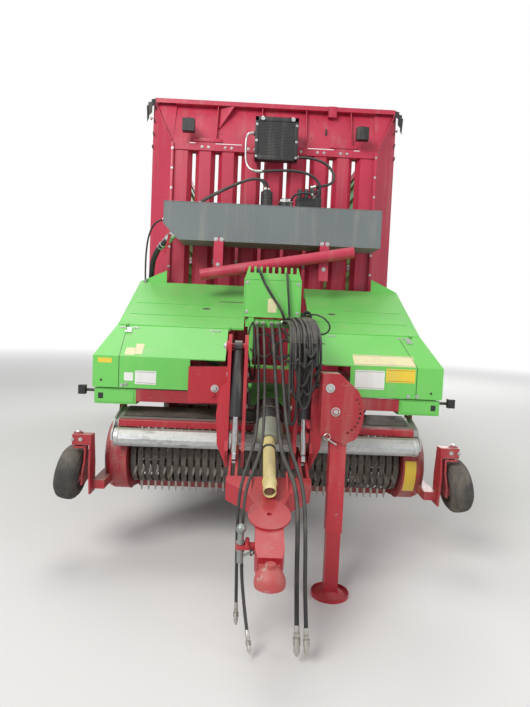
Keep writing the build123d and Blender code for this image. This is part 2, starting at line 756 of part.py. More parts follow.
knife_count = 16
bank_from, bank_to = radians(198), radians(298)
with BuildPart() as knife_bank:
    bank_x = cheek_in_x - 6
    with BuildSketch(Plane.YZ.offset(-bank_x)):
        with BuildLine():
            middle = (bank_from + bank_to) / 2
            rim = [
                [(rotor_y + r * cos(t), rotor_z + r * sin(t)) for t in (bank_from, middle, bank_to)]
                for r in (channel_r, channel_r + channel_t)
            ]
            ThreePointArc(*rim[0])
            Line(rim[0][2], rim[1][2])
            ThreePointArc(*reversed(rim[1]))
            Line(rim[1][0], rim[0][0])
        make_face()
    extrude(amount=2 * bank_x)
    block((-bank_x, bank_x), (rotor_y - 110, rotor_y - 30), (rotor_z - 425, rotor_z - channel_r - 3))
    cross_rod((-bank_x, bank_x), knife_pivot_y, knife_pivot_z, 22)
    cross_rod((-cheek_x, cheek_x), knife_pivot_y, knife_pivot_z, knife_pin_r)
    for knife in range(knife_count):
        x = (knife - (knife_count - 1) / 2) * star_pitch / 2
        side_plate(
            (
                (rotor_y - 250, rotor_z - 265), (rotor_y - 150, rotor_z - 210), (rotor_y - 20, rotor_z - 250),
                (rotor_y + 60, rotor_z - channel_r - 4), (rotor_y - 180, rotor_z - channel_r + 40),
            ),
            x - 2.5,
            5,
        )
        side_plate(
            (
                (knife_pivot_y - 60, rotor_z - channel_r + 8), (knife_pivot_y + 18, knife_pivot_z + 8),
                (knife_pivot_y - 10, knife_pivot_z - 20), (knife_pivot_y - 190, rotor_z - 410),
            ),
            x - 4,
            8,
        )
knife_bank.part.label = "knife_bank"
export_step(knife_bank.part, "parts/knife_bank.step")


# Pickup frame: arms on the rings beside the rotor, the cross tube below, the side drums
# and the carriers of the gauge wheels

arm_in_x, arm_out_x = 812, 842
cross_y = (-2470, -2400)
cross_z = (375, 445)
gauge_bar_z = 560
swivel_z = (842, 912)
carrier_x = 1200
carrier_t = 12
drum_t = drum_out_x - drum_in_x
guard_arm_x = roller_x + 12
guard_arm_t = 12
with BuildPart() as pickup_frame:
    with BuildSketch(Plane.YZ.offset(arm_in_x)):
        with BuildLine():
            Polyline(
                (rotor_y - 95, rotor_z + 95), (rotor_y + 60, rotor_z + 110), (rotor_y + 130, rotor_z + 20),
                (rotor_y + 70, rotor_z - 120), (cross_y[1] + 70, cross_z[0] + 20), (cross_y[0], cross_z[0]),
                (cross_y[0], cross_z[1]), (rotor_y - 270, rotor_z - 120), close=True,
            )
        make_face()
        with Locations((rotor_y, rotor_z)):
            Circle(boss_r + shaft_fit, mode=Mode.SUBTRACT)
    extrude(amount=arm_out_x - arm_in_x)
    # drum: a rounded housing with a foot back to the cross tube
    turned(
        (
            # along the reel, radius
            (0, 0), (0, drum_r), (drum_t - 48, drum_r), (drum_t - 20, drum_r - 12), (drum_t - 4, drum_r - 34),
            (drum_t, drum_r - 60), (drum_t, 0),
        ),
        (drum_in_x, reel_y, reel_z),
    )
    side_plate(
        (
            (reel_y, reel_z - drum_r), (cross_y[1], cross_z[0]), (cross_y[1], cross_z[1] + 60),
            (reel_y + 200, reel_z + 60), (reel_y, reel_z),
        ),
        drum_in_x,
        drum_t - 48,
    )
    cross_rod((drum_in_x - 1, drum_in_x + 60), reel_y, reel_z, 30 + shaft_fit, mode=Mode.SUBTRACT)
    # lug and pin that carry the crop guard
    side_plate(
        (
            (guard_pivot_y - 35, guard_pivot_z + 30), (guard_pivot_y + 35, guard_pivot_z + 30),
            (guard_pivot_y + 60, reel_z + 200), (guard_pivot_y - 60, reel_z + 200),
        ),
        guard_arm_x + guard_arm_t + 5,
        20,
    )
    cross_rod((guard_arm_x - 8, guard_arm_x + guard_arm_t + 10), guard_pivot_y, guard_pivot_z, 15)
    # carrier of the gauge wheel
    block((drum_out_x - 50, carrier_x), (castor_y, reel_y - 60), (gauge_bar_z - 30, gauge_bar_z + 30))
    side_plate(
        (
            (castor_y - 35, gauge_bar_z - 60), (castor_y + 75, gauge_bar_z - 60), (castor_y + 75, 700),
            (castor_y + 40, swivel_z[1]), (castor_y - 40, swivel_z[1]), (castor_y - 60, 700),
        ),
        carrier_x,
        carrier_t,
    )
    front_plate(
        (
            (carrier_x + 6, swivel_z[0]), (carrier_x + 6, swivel_z[1]), (castor_x + 30, swivel_z[1]),
            (castor_x + 30, swivel_z[0]),
        ),
        castor_y - 40,
        80,
    )
    upright(castor_x, castor_y, swivel_z, pin_r + shaft_fit, mode=Mode.SUBTRACT)
    mirror(about=Plane.YZ)
    block((-drum_in_x, drum_in_x), cross_y, cross_z)
pickup_frame.part.label = "pickup_frame"
export_step(pickup_frame.part, "parts/pickup_frame.step")

# Stripper bands round the reel, one between each two rows of tines

band_count = 38
band_w = 36
band_t = 4
band_from, band_to = radians(-62), radians(-300)
with BuildPart() as stripper_bands:
    for band in range(band_count):
        x = (band - (band_count - 1) / 2) * tine_pitch
        with BuildSketch(Plane.YZ.offset(x - band_w / 2)):
            with BuildLine():
                middle = (band_from + band_to) / 2
                arcs = [
                    [(reel_y + r * cos(t), reel_z + r * sin(t)) for t in (band_from, middle, band_to)]
                    for r in (band_r, band_r + band_t)
                ]
                ThreePointArc(*arcs[0])
                Line(arcs[0][2], arcs[1][2])
                ThreePointArc(*reversed(arcs[1]))
                foot = cross_z[1] - 8
                Polyline(arcs[1][0], (cross_y[0], foot - 2 * band_t), (cross_y[0], foot), arcs[0][0])
            make_face()
        extrude(amount=band_w)
stripper_bands.part.label = "stripper_bands"
export_step(stripper_bands.part, "parts/stripper_bands.step")

# Pickup reel: shaft, carrier discs, bars and their tines

tine_rows = band_count - 1
bar_count = 5
bar_at = 140
with BuildPart() as pickup_reel:
    cross_rod((-reel_x, reel_x), reel_y, reel_z, 55)
    cross_rod((-drum_in_x - 55, drum_in_x + 55), reel_y, reel_z, 30)
    for x in (-reel_x + 12, -310, 310, reel_x - 12):
        cross_rod((x - 6, x + 6), reel_y, reel_z, bar_at + 26)
    with Locations(Location((0, reel_y, reel_z), (0, 90, 0))):
        with PolarLocations(bar_at, bar_count):
            Cylinder(17, 2 * reel_x)
        with PolarLocations((bar_at + tine_r) / 2, bar_count):
            with Locations(*[(0, 0, (row - (tine_rows - 1) / 2) * tine_pitch) for row in range(tine_rows)]):
                Box(tine_r - bar_at, tine_d * 1.5, tine_d)
pickup_reel.part.label = "pickup_reel"
export_step(pickup_reel.part, "parts/pickup_reel.step")

# Crop guard: two arms with deflector sheet and front bar, and the roller that turns in them

roller_stub_r = 14
front_bar_y = (roller_y + 60, roller_y + 100)
front_bar_z = (roller_z + 62, roller_z + 109)
with BuildPart() as crop_guard:
    side_plate(
        (
            (guard_pivot_y + 30, guard_pivot_z - 22), (guard_pivot_y + 30, guard_pivot_z + 22),
            (roller_y + 200, roller_z + 155), (front_bar_y[0], front_bar_z[1] + 6), (roller_y - 30, roller_z + 30),
            (roller_y - 30, roller_z - 24), (roller_y + 10, roller_z - 30), (roller_y + 110, roller_z + 50),
            (roller_y + 220, roller_z + 118),
        ),
        guard_arm_x,
        guard_arm_t,
    )
    for y, z, r in ((guard_pivot_y, guard_pivot_z, 15), (roller_y, roller_z, roller_stub_r)):
        cross_rod((guard_arm_x - 1, guard_arm_x + guard_arm_t + 1), y, z, r + shaft_fit, mode=Mode.SUBTRACT)
    mirror(about=Plane.YZ)
    # deflector sheet, and the bar in front of it
    side_plate(
        (
            (guard_pivot_y - 30, guard_pivot_z - 3), (roller_y + 210, roller_z + 142),
            (front_bar_y[1] - 4, front_bar_z[1] + 3), (front_bar_y[1] - 4, front_bar_z[0] + 20),
            (front_bar_y[1], front_bar_z[0] + 20), (front_bar_y[1], front_bar_z[1]),
            (roller_y + 210, roller_z + 138), (guard_pivot_y - 30, guard_pivot_z - 7),
        ),
        -guard_arm_x,
        2 * guard_arm_x,
    )
    block((-guard_arm_x, guard_arm_x), front_bar_y, front_bar_z)
crop_guard.part.label = "crop_guard"
export_step(crop_guard.part, "parts/crop_guard.step")

roller_faces = 9
with BuildPart() as crop_roller:
    with BuildSketch(Plane.YZ.offset(-roller_x)):
        with Locations((roller_y, roller_z)):
            RegularPolygon(roller_r, roller_faces)
    extrude(amount=2 * roller_x)
    for x in (-roller_x, roller_x - 14):
        cross_rod((x, x + 14), roller_y, roller_z, roller_r - 1)
    cross_rod((-guard_arm_x - guard_arm_t - 6, guard_arm_x + guard_arm_t + 6), roller_y, roller_z, roller_stub_r)
crop_roller.part.label = "crop_roller"
export_step(crop_roller.part, "parts/crop_roller.step")

# Gauge wheels: a castor arm with its swivel pin, a tyre and its rim, leaning by the camber

gauge_rim_r = 80
gauge_stub_r = 14
tyre_seat = 0.3          # between the tyre's solid and the rim's
lean = radians(camber)
for side, name in ((-1, "left"), (1, "right")):
    centre = (side * gauge_x, gauge_y, gauge_z)
    wheel_way = (side * cos(lean), 0, sin(lean))
    wheel_up = (-side * sin(lean), 0, cos(lean))
    with BuildPart() as castor:
        upright(side * castor_x, castor_y, (swivel_z[0] - 12, swivel_z[1] + 10), pin_r)
        upright(side * castor_x, castor_y, (swivel_z[1] + pin_fit, swivel_z[1] + 12), pin_r + 10)
        arm_top = swivel_z[0] - 12
        front_plate(
            [
                (side * x, z)
                for x, z in (
                    (castor_x - 62, arm_top), (castor_x + 24, arm_top), (castor_x + 24, arm_top - 14),
                    (castor_x - 50, arm_top - 14), (castor_x - 48, 730), (castor_x - 32, 640), (castor_x - 30, 560),
                    (castor_x - 42, 560), (castor_x - 44, 640), (castor_x - 60, 730),
                )
            ],
            castor_y - 30,
            60,
        )
        # the trailing arm back to the wheel's axle
        side_plate(
            (
                (castor_y - 20, 560), (castor_y + 30, 700), (gauge_y + 34, gauge_z + 10), (gauge_y + 34, gauge_z - 50),
                (gauge_y - 10, 560),
            ),
            side * (castor_x - 36) - 6,
            12,
        )
        # axle stub into the wheel
        hub_in = Vector(*centre) - Vector(*wheel_way) * (gauge_w / 2 + 20)
        tube(hub_in, Vector(*centre) + Vector(*wheel_way) * 40, gauge_stub_r)
    castor.part.label = f"castor_{name}"
    export_step(castor.part, f"parts/castor_{name}.step")

    with BuildPart() as gauge_wheel:
        half = gauge_w / 2
        turned(
            (
                # along the axle, radius
                (-half + 22, gauge_rim_r), (-half, 118), (-half + 2, 150), (-half + 22, 176), (-30, gauge_r - 2),
                (0, gauge_r), (30, gauge_r - 2), (half - 22, 176), (half - 2, 150), (half, 118),
                (half - 22, gauge_rim_r),
            ),
            centre,
            along=wheel_way,
            up=wheel_up,
        )
        turned(
            (
                # along the axle, radius
                (-half + 22, gauge_rim_r - tyre_seat), (-half + 22, gauge_rim_r - 10), (-20, gauge_rim_r - 14), (-20, 32),
                (-60, 30), (-60, gauge_stub_r + shaft_fit), (30, gauge_stub_r + shaft_fit), (30, 30), (0, 32),
                (0, gauge_rim_r - 14), (half - 22, gauge_rim_r - 10), (half - 22, gauge_rim_r - tyre_seat),
            ),
            centre,
            along=wheel_way,
            up=wheel_up,
        )
    gauge_wheel.part.label = f"gauge_wheel_{name}"
    export_step(gauge_wheel.part, f"parts/gauge_wheel_{name}.step")


# Load space: floor, scraper floor, ribbed side sheets, posts and rails

floor_front_y = channel_back_y - 15
with BuildPart() as load_floor:
    block((-wall_x + 45, wall_x - 45), (floor_front_y, tail_y - 5), (floor_top_z - floor_t, floor_top_z))
load_floor.part.label = "load_floor"
export_step(load_floor.part, "parts/load_floor.step")

# Scraper floor: two fixed loops of chain round the floor with slats across
chain_x = (-1080, -390, 390, 1080)
chain_s = 22
slat_pitch = 420
slat_h = 34
with BuildPart() as scraper_floor:
    top = floor_top_z
    for x in chain_x:
        block((x - chain_s / 2, x + chain_s / 2), (floor_front_y + 30, tail_y - 40), (top, top + chain_s))
    slat_y = floor_front_y + 120
    while slat_y < tail_y - 120:
        block((-1110, 1110), (slat_y - 25, slat_y + 25), (top + 2, top + slat_h))
        slat_y += slat_pitch
scraper_floor.part.label = "scraper_floor"
export_step(scraper_floor.part, "parts/scraper_floor.step")

# Side sheets with level ribs, pressed inwards
sheet_low_z = floor_top_z - 60
sheet_high_z = top_z - rail_h
rib_count_side = 14
rib_step = (sheet_high_z - sheet_low_z) / rib_count_side
sheet_line = [(0, sheet_low_z)]
for rib in range(rib_count_side):
    base = sheet_low_z + rib * rib_step
    sheet_line += [
        (0, base + 0.42 * rib_step), (rib_depth, base + 0.52 * rib_step),
        (rib_depth, base + 0.8 * rib_step), (0, base + 0.9 * rib_step),
    ]
sheet_line.append((0, sheet_high_z))
with BuildPart() as side_walls:
    for side in (-1, 1):
        outer = [(side * (wall_x - deep), z) for deep, z in sheet_line]
        inner = [(side * (wall_x - deep - wall_t), z) for deep, z in reversed(sheet_line)]
        front_plate(outer + inner, corner_y, tail_y - corner_y)
side_walls.part.label = "side_walls"
export_step(side_walls.part, "parts/side_walls.step")

# Posts outside the sheets, the top rail over them and the sill under them
with BuildPart() as body_posts:
    for y in post_ys:
        block((wall_x, wall_x + post_t), (y - post_w / 2, y + post_w / 2), (sheet_low_z - 40, sheet_high_z))
    block((wall_x - 40, wall_x + post_t), (post_ys[0] - 40, tail_y), (sheet_high_z, top_z))
    block((wall_x - 40, wall_x), (corner_y, post_ys[0] - 40), (sheet_high_z, top_z))
    block((wall_x, wall_x + post_t - 10), (corner_y, tail_y), (sheet_low_z, sheet_low_z + 90))
    mirror(about=Plane.YZ)
    # pins that the tailgate's cylinders start from
    for side in (-1, 1):
        foot = sorted((side * wall_x, side * (wall_x + 10)))
        block(foot, (post_ys[-1] + post_w / 2, gate_base_y + 60), (gate_base_z - 60, gate_base_z + 60))
        cross_rod(sorted((side * (wall_x + 8), side * (wall_x + 76))), gate_base_y, gate_base_z, gate_pin_r)
        # hinge plates and pins of the tailgate
        for plate_x in (side * lug_x - 26, side * lug_x + 12):
            side_plate(
                (
                    (tail_y, sheet_high_z), (tail_y, top_z), (gate_hinge_y + 20, top_z - 12),
                    (gate_hinge_y + 24, gate_hinge_z - 20), (gate_hinge_y - 10, sheet_high_z + 10),
                ),
                plate_x,
                14,
            )
        cross_rod((side * lug_x - 26, side * lug_x + 26), gate_hinge_y, gate_hinge_z, gate_pin_r)
    # cross bar over the tailgate's hinges
    block((-wall_x + 40, wall_x - 40), (tail_y - 80, tail_y), (sheet_high_z, top_z))
body_posts.part.label = "body_posts"
export_step(body_posts.part, "parts/body_posts.step")

# Front wall: upright hat channels with slits between, held by a sill and a head beam

wall_foot_z = floor_top_z - floor_t
hat_count = 7
hat_w = channel_pitch - slit
head_beam_h = 60
head_gap = 12            # see-through slit over the head beam
with BuildPart() as front_wall:
    centres = [(n - (hat_count - 1) / 2) * channel_pitch for n in range(hat_count)]
    for x in centres:
        face, foot, t = channel_face / 2, hat_w / 2, front_sheet
        flat_plate(
            [
                (x - foot, front_wall_y + channel_depth), (x - face, front_wall_y), (x + face, front_wall_y),
                (x + foot, front_wall_y + channel_depth), (x + foot - t, front_wall_y + channel_depth),
                (x + face - t / 2, front_wall_y + t), (x - face + t / 2, front_wall_y + t),
                (x - foot + t, front_wall_y + channel_depth),
            ],
            wall_foot_z,
            wall_head_z - head_gap - wall_foot_z,
        )
    # flat outer fields beside the last slits
    first_x = hat_count / 2 * channel_pitch + slit / 2
    for side in (-1, 1):
        flat_plate(
            [
                (side * x, y)
                for x, y in (
                    (first_x, front_wall_y + channel_depth), (first_x + 40, front_wall_y), (front_wall_x, front_wall_y),
                    (front_wall_x, front_wall_y + front_sheet), (first_x + 42, front_wall_y + front_sheet),
                    (first_x + 5, front_wall_y + channel_depth),
                )
            ],
            wall_foot_z,
            wall_head_z - wall_foot_z,
        )
    beam_back = front_wall_y + channel_depth + 50
    for low, high in ((wall_foot_z, wall_foot_z + 90), (2250, 2310)):
        block((-front_wall_x, front_wall_x), (front_wall_y + channel_depth, beam_back), (low, high))
    # head beam in front of the channels, and pads on it that carry the leaning panel
    head_beam_z = (wall_head_z - head_gap - head_beam_h, wall_head_z - head_gap)
    block((-front_wall_x, front_wall_x), (front_wall_y - 12, beam_back), head_beam_z)
    for x in centres[::2]:
        block((x - hat_w / 2, x + hat_w / 2), (front_wall_y - 12, front_wall_y + 6), (head_beam_z[1], wall_head_z))
    # outer uprights
    for side in (-1, 1):
        edge = sorted((side * (front_wall_x - 50), side * front_wall_x))
        block(edge, (front_wall_y + front_sheet, beam_back), (wall_foot_z, wall_head_z))
    # corner panels: slanting sheets from the front wall back to the side sheets
    t = front_sheet
    panel_back = [(wall_x, corner_y - 30), (wall_x, corner_y), (wall_x - t, corner_y), (wall_x - t, corner_y - 28)]
    low_line = [(front_wall_x, front_wall_y), *panel_back, (front_wall_x, front_wall_y + t + 4)]
    high_line = [(upper_top_x, upper_top_y), *panel_back, (upper_top_x, upper_top_y + t + 4)]
    flat_plate(low_line, wall_foot_z, wall_head_z - wall_foot_z)
    with BuildSketch(Plane.XY.offset(wall_head_z)):
        Polygon(*low_line, align=None)
    with BuildSketch(Plane.XY.offset(top_z)):
        Polygon(*high_line, align=None)
    loft(ruled=True)
    mirror(about=Plane.YZ)
front_wall.part.label = "front_wall"
export_step(front_wall.part, "parts/front_wall.step")

# Upper front panel, leaning back, with gussets on its face and a lip along its top
gusset_x = (-545, -125, 290, 715)
panel_lean = (upper_top_y - front_wall_y) / (top_z - 40 - wall_head_z)
with BuildPart() as upper_panel:
    t = 6
    side_plate(
        (
            (front_wall_y, wall_head_z), (upper_top_y, top_z - 40), (upper_top_y - 60, top_z - 40),
            (upper_top_y - 60, top_z), (upper_top_y + 30, top_z), (upper_top_y + 30, top_z - 6),
            (upper_top_y - 54, top_z - 6), (upper_top_y - 54, top_z - 34), (upper_top_y + t, top_z - 34),
            (front_wall_y + t, wall_head_z),
        ),
        -front_wall_x,
        2 * front_wall_x,
    )
    for x in gusset_x:
        side_plate(
            ((front_wall_y, wall_head_z), (upper_top_y, top_z - 40), (upper_top_y - 50, top_z - 40),
             (front_wall_y - 12, wall_head_z + 60)),
            x - 4,
            8,
        )
    # wedges out to the corner panels, and the lip over them
    for side in (-1, 1):
        lip_x = sorted((side * front_wall_x, side * (upper_top_x - 6)))
        block(lip_x, (upper_top_y - 60, upper_top_y + 3), (top_z - 6, top_z))
        block(lip_x, (upper_top_y - 60, upper_top_y - 54), (top_z - 40, top_z))
        with BuildSketch(Plane.XY.offset(wall_head_z)):
            Polygon(
                *[(side * x, y) for x, y in (
                    (front_wall_x, front_wall_y), (front_wall_x, front_wall_y + t),
                    (front_wall_x - 10, front_wall_y + t), (front_wall_x - 10, front_wall_y),
                )],
                align=None,
            )
        with BuildSketch(Plane.XY.offset(top_z)):
            Polygon(
                *[(side * x, y) for x, y in (
                    (upper_top_x, upper_top_y), (upper_top_x, upper_top_y + t),
                    (front_wall_x - 10, upper_top_y + t), (front_wall_x - 10, upper_top_y),
                )],
                align=None,
            )
        loft(ruled=True)
upper_panel.part.label = "upper_panel"
export_step(upper_panel.part, "parts/upper_panel.step")

# Oil tank on brackets in front of the wall, chamfered at its lower left corner
bracket_xs = (-455, 450)
with BuildPart() as oil_tank:
    with BuildSketch(Plane.XZ.offset(-tank_y[0])):
        with BuildLine():
            Polyline(
                (-tank_x, tank_z[1]), (tank_x, tank_z[1]), (tank_x, tank_z[0]), (-tank_x + 130, tank_z[0]),
                (-tank_x, tank_z[0] + 130), close=True,
            )
        make_face()
    extrude(amount=-(tank_y[1] - tank_y[0]))
oil_tank.part.label = "oil_tank"
export_step(oil_tank.part, "parts/oil_tank.step")

with BuildPart() as tank_brackets:
    for x in bracket_xs:
        block((x - 40, x + 40), (tank_y[0] - 6, front_wall_y), (tank_z[0] - 8, tank_z[0]))
        block((x - 40, x + 40), (tank_y[0] - 6, tank_y[0]), (tank_z[0] - 8, tank_z[0] + 30))
        block((x - 40, x + 40), (tank_y[0] - 6, tank_y[0] + 2), (tank_z[0] - 300, tank_z[0] - 8))
        side_plate(
            ((tank_y[0] + 2, tank_z[0] - 8), (front_wall_y, tank_z[0] - 8), (front_wall_y, tank_z[0] - 160),
             (tank_y[0] + 2, tank_z[0] - 60)),
            x - 4,
            8,
        )
    # the sloping red tube on the brackets
    tube_r = 48
    tube_y = tank_y[0] - tube_r
    tube((-596, tube_y, 2105), (694, tube_y, 2350), tube_r)
tank_brackets.part.label = "tank_brackets"
export_step(tank_brackets.part, "parts/tank_brackets.step")

# Oil cooler above the tank, its fittings below it
cooler_x, cooler_z = (-185, 200), (3175, 3550)
with BuildPart() as tank_fittings:
    block(cooler_x, (-1860, -1790), cooler_z)
    block((cooler_x[0] + 30, cooler_x[1] - 30), (-1866, -1860), (cooler_z[0] + 40, cooler_z[1] - 40))
    for x in (cooler_x[0] + 10, cooler_x[1] - 20):
        # the upper bracket reaches the leaning panel, the lower one a channel
        z = cooler_z[1] - 80
        panel_y = front_wall_y + panel_lean * (z - wall_head_z)
        block((x - 10, x + 10), (-1790, panel_y - pin_fit), (z, z + 40))
        block((x - 10, x + 10), (-1790, front_wall_y), (cooler_z[0] + 40, cooler_z[0] + 80))
    top = tank_z[1]
    upright(110, -1950, (top, top + 60), 62)
    upright(110, -1950, (top + 60, top + 96), 46)
    upright(-60, -1950, (top, top + 150), 52)
    upright(-60, -1950, (top + 150, top + 165), 34)
    block((200, 420), (-1990, -1880), (top, top + 110))
    for x in (230, 290, 350, 400):
        upright(x, -1935, (top + 110, top + 150), 20)
    for x in (330, 390):
        upright(x, -1935, (top + 140, top + 230), 14)
tank_fittings.part.label = "tank_fittings"
export_step(tank_fittings.part, "parts/tank_fittings.step")

# Lamps: two work lamps up front, position lamps on arms, and the rear lamps
with BuildPart() as lamps:
    for x in (-790, 790):
        block((x - 55, x + 55), (front_wall_y - 130, front_wall_y - 60), (3420, 3530))
        panel_y = front_wall_y + panel_lean * (3530 - wall_head_z)
        block((x - 20, x + 20), (front_wall_y - 100, panel_y - pin_fit), (3530, 3545))
    for x in (-1060, 1060):
        block((x - 90, x + 90), (rear_y - 80, rear_y), (490, 560))
    # position lamps on arms beside the crossbeam
    for side in (-1, 1):
        tube((side * 1262, -2800, 1180), (side * 1345, -2800, 1180), 11)
        block(sorted((side * 1335, side * 1385)), (-2835, -2790), (1150, 1215))
lamps.part.label = "lamps"
export_step(lamps.part, "parts/lamps.step")


# Covers over the drive: fixed upper covers and hinged lids below them, left and right

cover_sides = ((-1, -cover_in_left, "left"), (1, cover_in_right, "right"))
lid_gap = 13
skirt_low_z = 1255
hinge_r = 7
lid_inner = {-1: 322, 1: cover_in_right + 16}
ear_xs = {side: (lid_inner[side] - 14, 1096) for side in lid_inner}
ear_t = 10
with BuildPart() as upper_covers:
    for side, inner, name in cover_sides:
        span = sorted((side * inner, side * cover_out_back))
        t = cover_t
        side_plate(
            (
                (cover_back_y, cover_back_z), (gap_y + lid_gap, gap_z + lid_gap / 2),
                (gap_y + lid_gap, gap_z - t), (cover_back_y - 20, cover_back_z - 22),
                (cover_back_y - 20, cover_back_z - 90), (cover_back_y, cover_back_z - 90),
            ),
            span[0],
            span[1] - span[0],
        )
        # outer skirt down beside the rotor
        skirt_x = min(side * cover_out_back, side * (cover_out_back - t))
        side_plate(
            (
                (cover_back_y, cover_back_z), (gap_y + lid_gap, gap_z + lid_gap / 2),
                (gap_y + lid_gap, skirt_low_z), (cover_back_y, skirt_low_z),
            ),
            skirt_x,
            t,
        )
        # end cheek that rises to the corner panel
        front_plate(
            [
                (side * x, z)
                for x, z in (
                    (front_wall_x - 10, cover_back_z - 40), (cover_out_back, cover_back_z - 40),
                    (cover_out_back, cover_back_z), (front_wall_x - 10, cover_back_z + 110),
                )
            ],
            cover_back_y,
            t,
        )
    for side in (-1, 1):
        # struts to the front wall
        strut_x = side * 3 * channel_pitch
        block((strut_x - 30, strut_x + 30), (cover_back_y, front_wall_y), (1980, 2030))
        # ears of the lid's hinge
        for ear_x in ear_xs[side]:
            low = min(side * ear_x, side * (ear_x + ear_t))
            side_plate(
                (
                    (gap_y - 13, gap_z - 14), (gap_y - 13, gap_z + 5), (gap_y, gap_z + 10),
                    (gap_y + 40, gap_z + 19), (gap_y + 40, gap_z - 14),
                ),
                low,
                ear_t,
            )
            cross_rod((low - 1, low + ear_t + 1), gap_y, gap_z, hinge_r + shaft_fit, mode=Mode.SUBTRACT)
    # boxes below the lids, on the ends of the crossbeam
    for side in (-1, 1):
        box_x = sorted((side * beam_end_x, side * 1262))
        block(box_x, (crease_y + 20, crease_y + 230), (1091, cover_low_z - 8))
upper_covers.part.label = "upper_covers"
export_step(upper_covers.part, "parts/upper_covers.step")

notch_out = {-1: 575, 1: 590}
for side, inner, name in cover_sides:
    with BuildPart() as lid:
        t = cover_t
        inner = lid_inner[side]
        span = sorted((side * inner, side * cover_out_front))
        side_plate(
            (
                (gap_y, gap_z), (crease_y, crease_z), (crease_y, cover_low_z), (crease_y + t, cover_low_z),
                (crease_y + t, crease_z - t / 2), (gap_y, gap_z - t * 1.25),
            ),
            span[0],
            span[1] - span[0],
        )
        # outer edge slants, with a skirt along it
        flat_plate(
            [
                (side * x, y)
                for x, y in (
                    (cover_out_back, gap_y), (cover_out_front, crease_y - 1), (cover_out_front + 60, crease_y - 1),
                    (cover_out_front + 60, gap_y + 1), (cover_out_back, gap_y + 1),
                )
            ],
            cover_low_z - 10,
            gap_z - cover_low_z + 20,
            mode=Mode.SUBTRACT,
        )
        with BuildSketch(Plane.XY.offset(cover_low_z)) as strip:
            Polygon(
                *[(side * x, y) for x, y in (
                    (cover_out_back, gap_y), (cover_out_front, crease_y), (cover_out_front - t, crease_y),
                    (cover_out_back - t, gap_y),
                )],
                align=None,
            )
        extrude(amount=crease_z - 2 - cover_low_z)
        with BuildSketch(Plane.YZ.offset(0)) as wedge:
            Polygon((gap_y, crease_z - 2), (gap_y, gap_z - 1), (crease_y + 4, crease_z - 2), align=None)
        skirt = extrude(wedge.sketch, amount=side * (cover_out_front + 20), mode=Mode.PRIVATE)
        with BuildSketch(Plane.XY.offset(crease_z - 2)) as strip_up:
            Polygon(
                *[(side * x, y) for x, y in (
                    (cover_out_back, gap_y), (cover_out_front, crease_y), (cover_out_front - t, crease_y),
                    (cover_out_back - t, gap_y),
                )],
                align=None,
            )
        upper_skirt = extrude(strip_up.sketch, amount=gap_z - crease_z, mode=Mode.PRIVATE)
        add(skirt & upper_skirt)
        # the front face is cut away beside the tower
        notch = sorted((side * (inner - 1), side * notch_out[side]))
        block(notch, (crease_y - 1, crease_y + t + 1), (cover_low_z - 1, crease_z - t), mode=Mode.SUBTRACT)
        # notch round the outer ear, and the hinge's rod
        ear_x = ear_xs[side][1]
        ear_gap = sorted((side * (ear_x - 8), side * (ear_x + ear_t + 8)))
        block(ear_gap, (gap_y - 24, gap_y + 10), (gap_z - 60, gap_z + 20), mode=Mode.SUBTRACT)
        rod = sorted((side * (ear_xs[side][0] - 2), side * (cover_out_back - 12)))
        cross_rod(rod, gap_y, gap_z, hinge_r)
    lid.part.label = f"lid_{name}"
    export_step(lid.part, f"parts/lid_{name}.step")

# Cabinet of the hoses in the middle, on two posts, with the notched comb on its top
box_half, box_y, box_z = 208, (-2835, -2660), (1762, 2042)
gland_bar_y = (box_y[0] + 24, box_y[0] + 44)
gland_y = box_y[0] - 15
gland_z = 1720
gland_xs = (-105, -60, 0, 45, 95)
coil_x, coil_y, coil_top_z = 262, -2770, 1840
coil_w, coil_h, coil_thick, coil_depth = 100, 430, 40, 60
comb_top_z = 2128
comb_fingers = 9
finger_pitch = 44
with BuildPart() as hose_cabinet:
    t = 4
    block((-box_half, box_half), box_y, box_z)
    block((-box_half + t, box_half - t), (box_y[0] + t, box_y[1]), (box_z[0] - 1, box_z[1] - t), mode=Mode.SUBTRACT)
    for x in (-150, 150):
        block((x - 20, x + 20), (box_y[0] + t, box_y[0] + 44), (arch_z[1], box_z[1] - t))
    block((-170, 170), (chassis_front_y + 5, box_y[0] + 44), (arch_z[1], arch_z[1] + 12))
    half = comb_fingers * finger_pitch / 2
    front_plate(
        ((-half - 6, box_z[1]), (-half + 20, comb_top_z), (half - 20, comb_top_z), (half + 6, box_z[1])), box_y[0], 6
    )
    for slot in range(comb_fingers - 1):
        x = (slot - (comb_fingers - 2) / 2) * finger_pitch
        block((x - 14, x + 14), (box_y[0] - 1, box_y[0] + 7), (comb_top_z - 46, comb_top_z + 1), mode=Mode.SUBTRACT)
    # bar of the hoses' glands under the cabinet
    block((-190, 190), gland_bar_y, (gland_z - 30, gland_z + 30))
    for x in gland_xs:
        long_rod(x, (gland_y, gland_bar_y[0]), gland_z, 18)
    # hook of the coiled hose
    peg_r = 8
    peg_z = coil_top_z - coil_thick - peg_r - pin_fit
    long_rod(coil_x, (coil_y - coil_depth, coil_y + 50), peg_z, peg_r)
    block((box_half - t, coil_x + peg_r), (coil_y + 40, coil_y + 50), (peg_z - 16, peg_z + 16))
hose_cabinet.part.label = "hose_cabinet"
export_step(hose_cabinet.part, "parts/hose_cabinet.step")

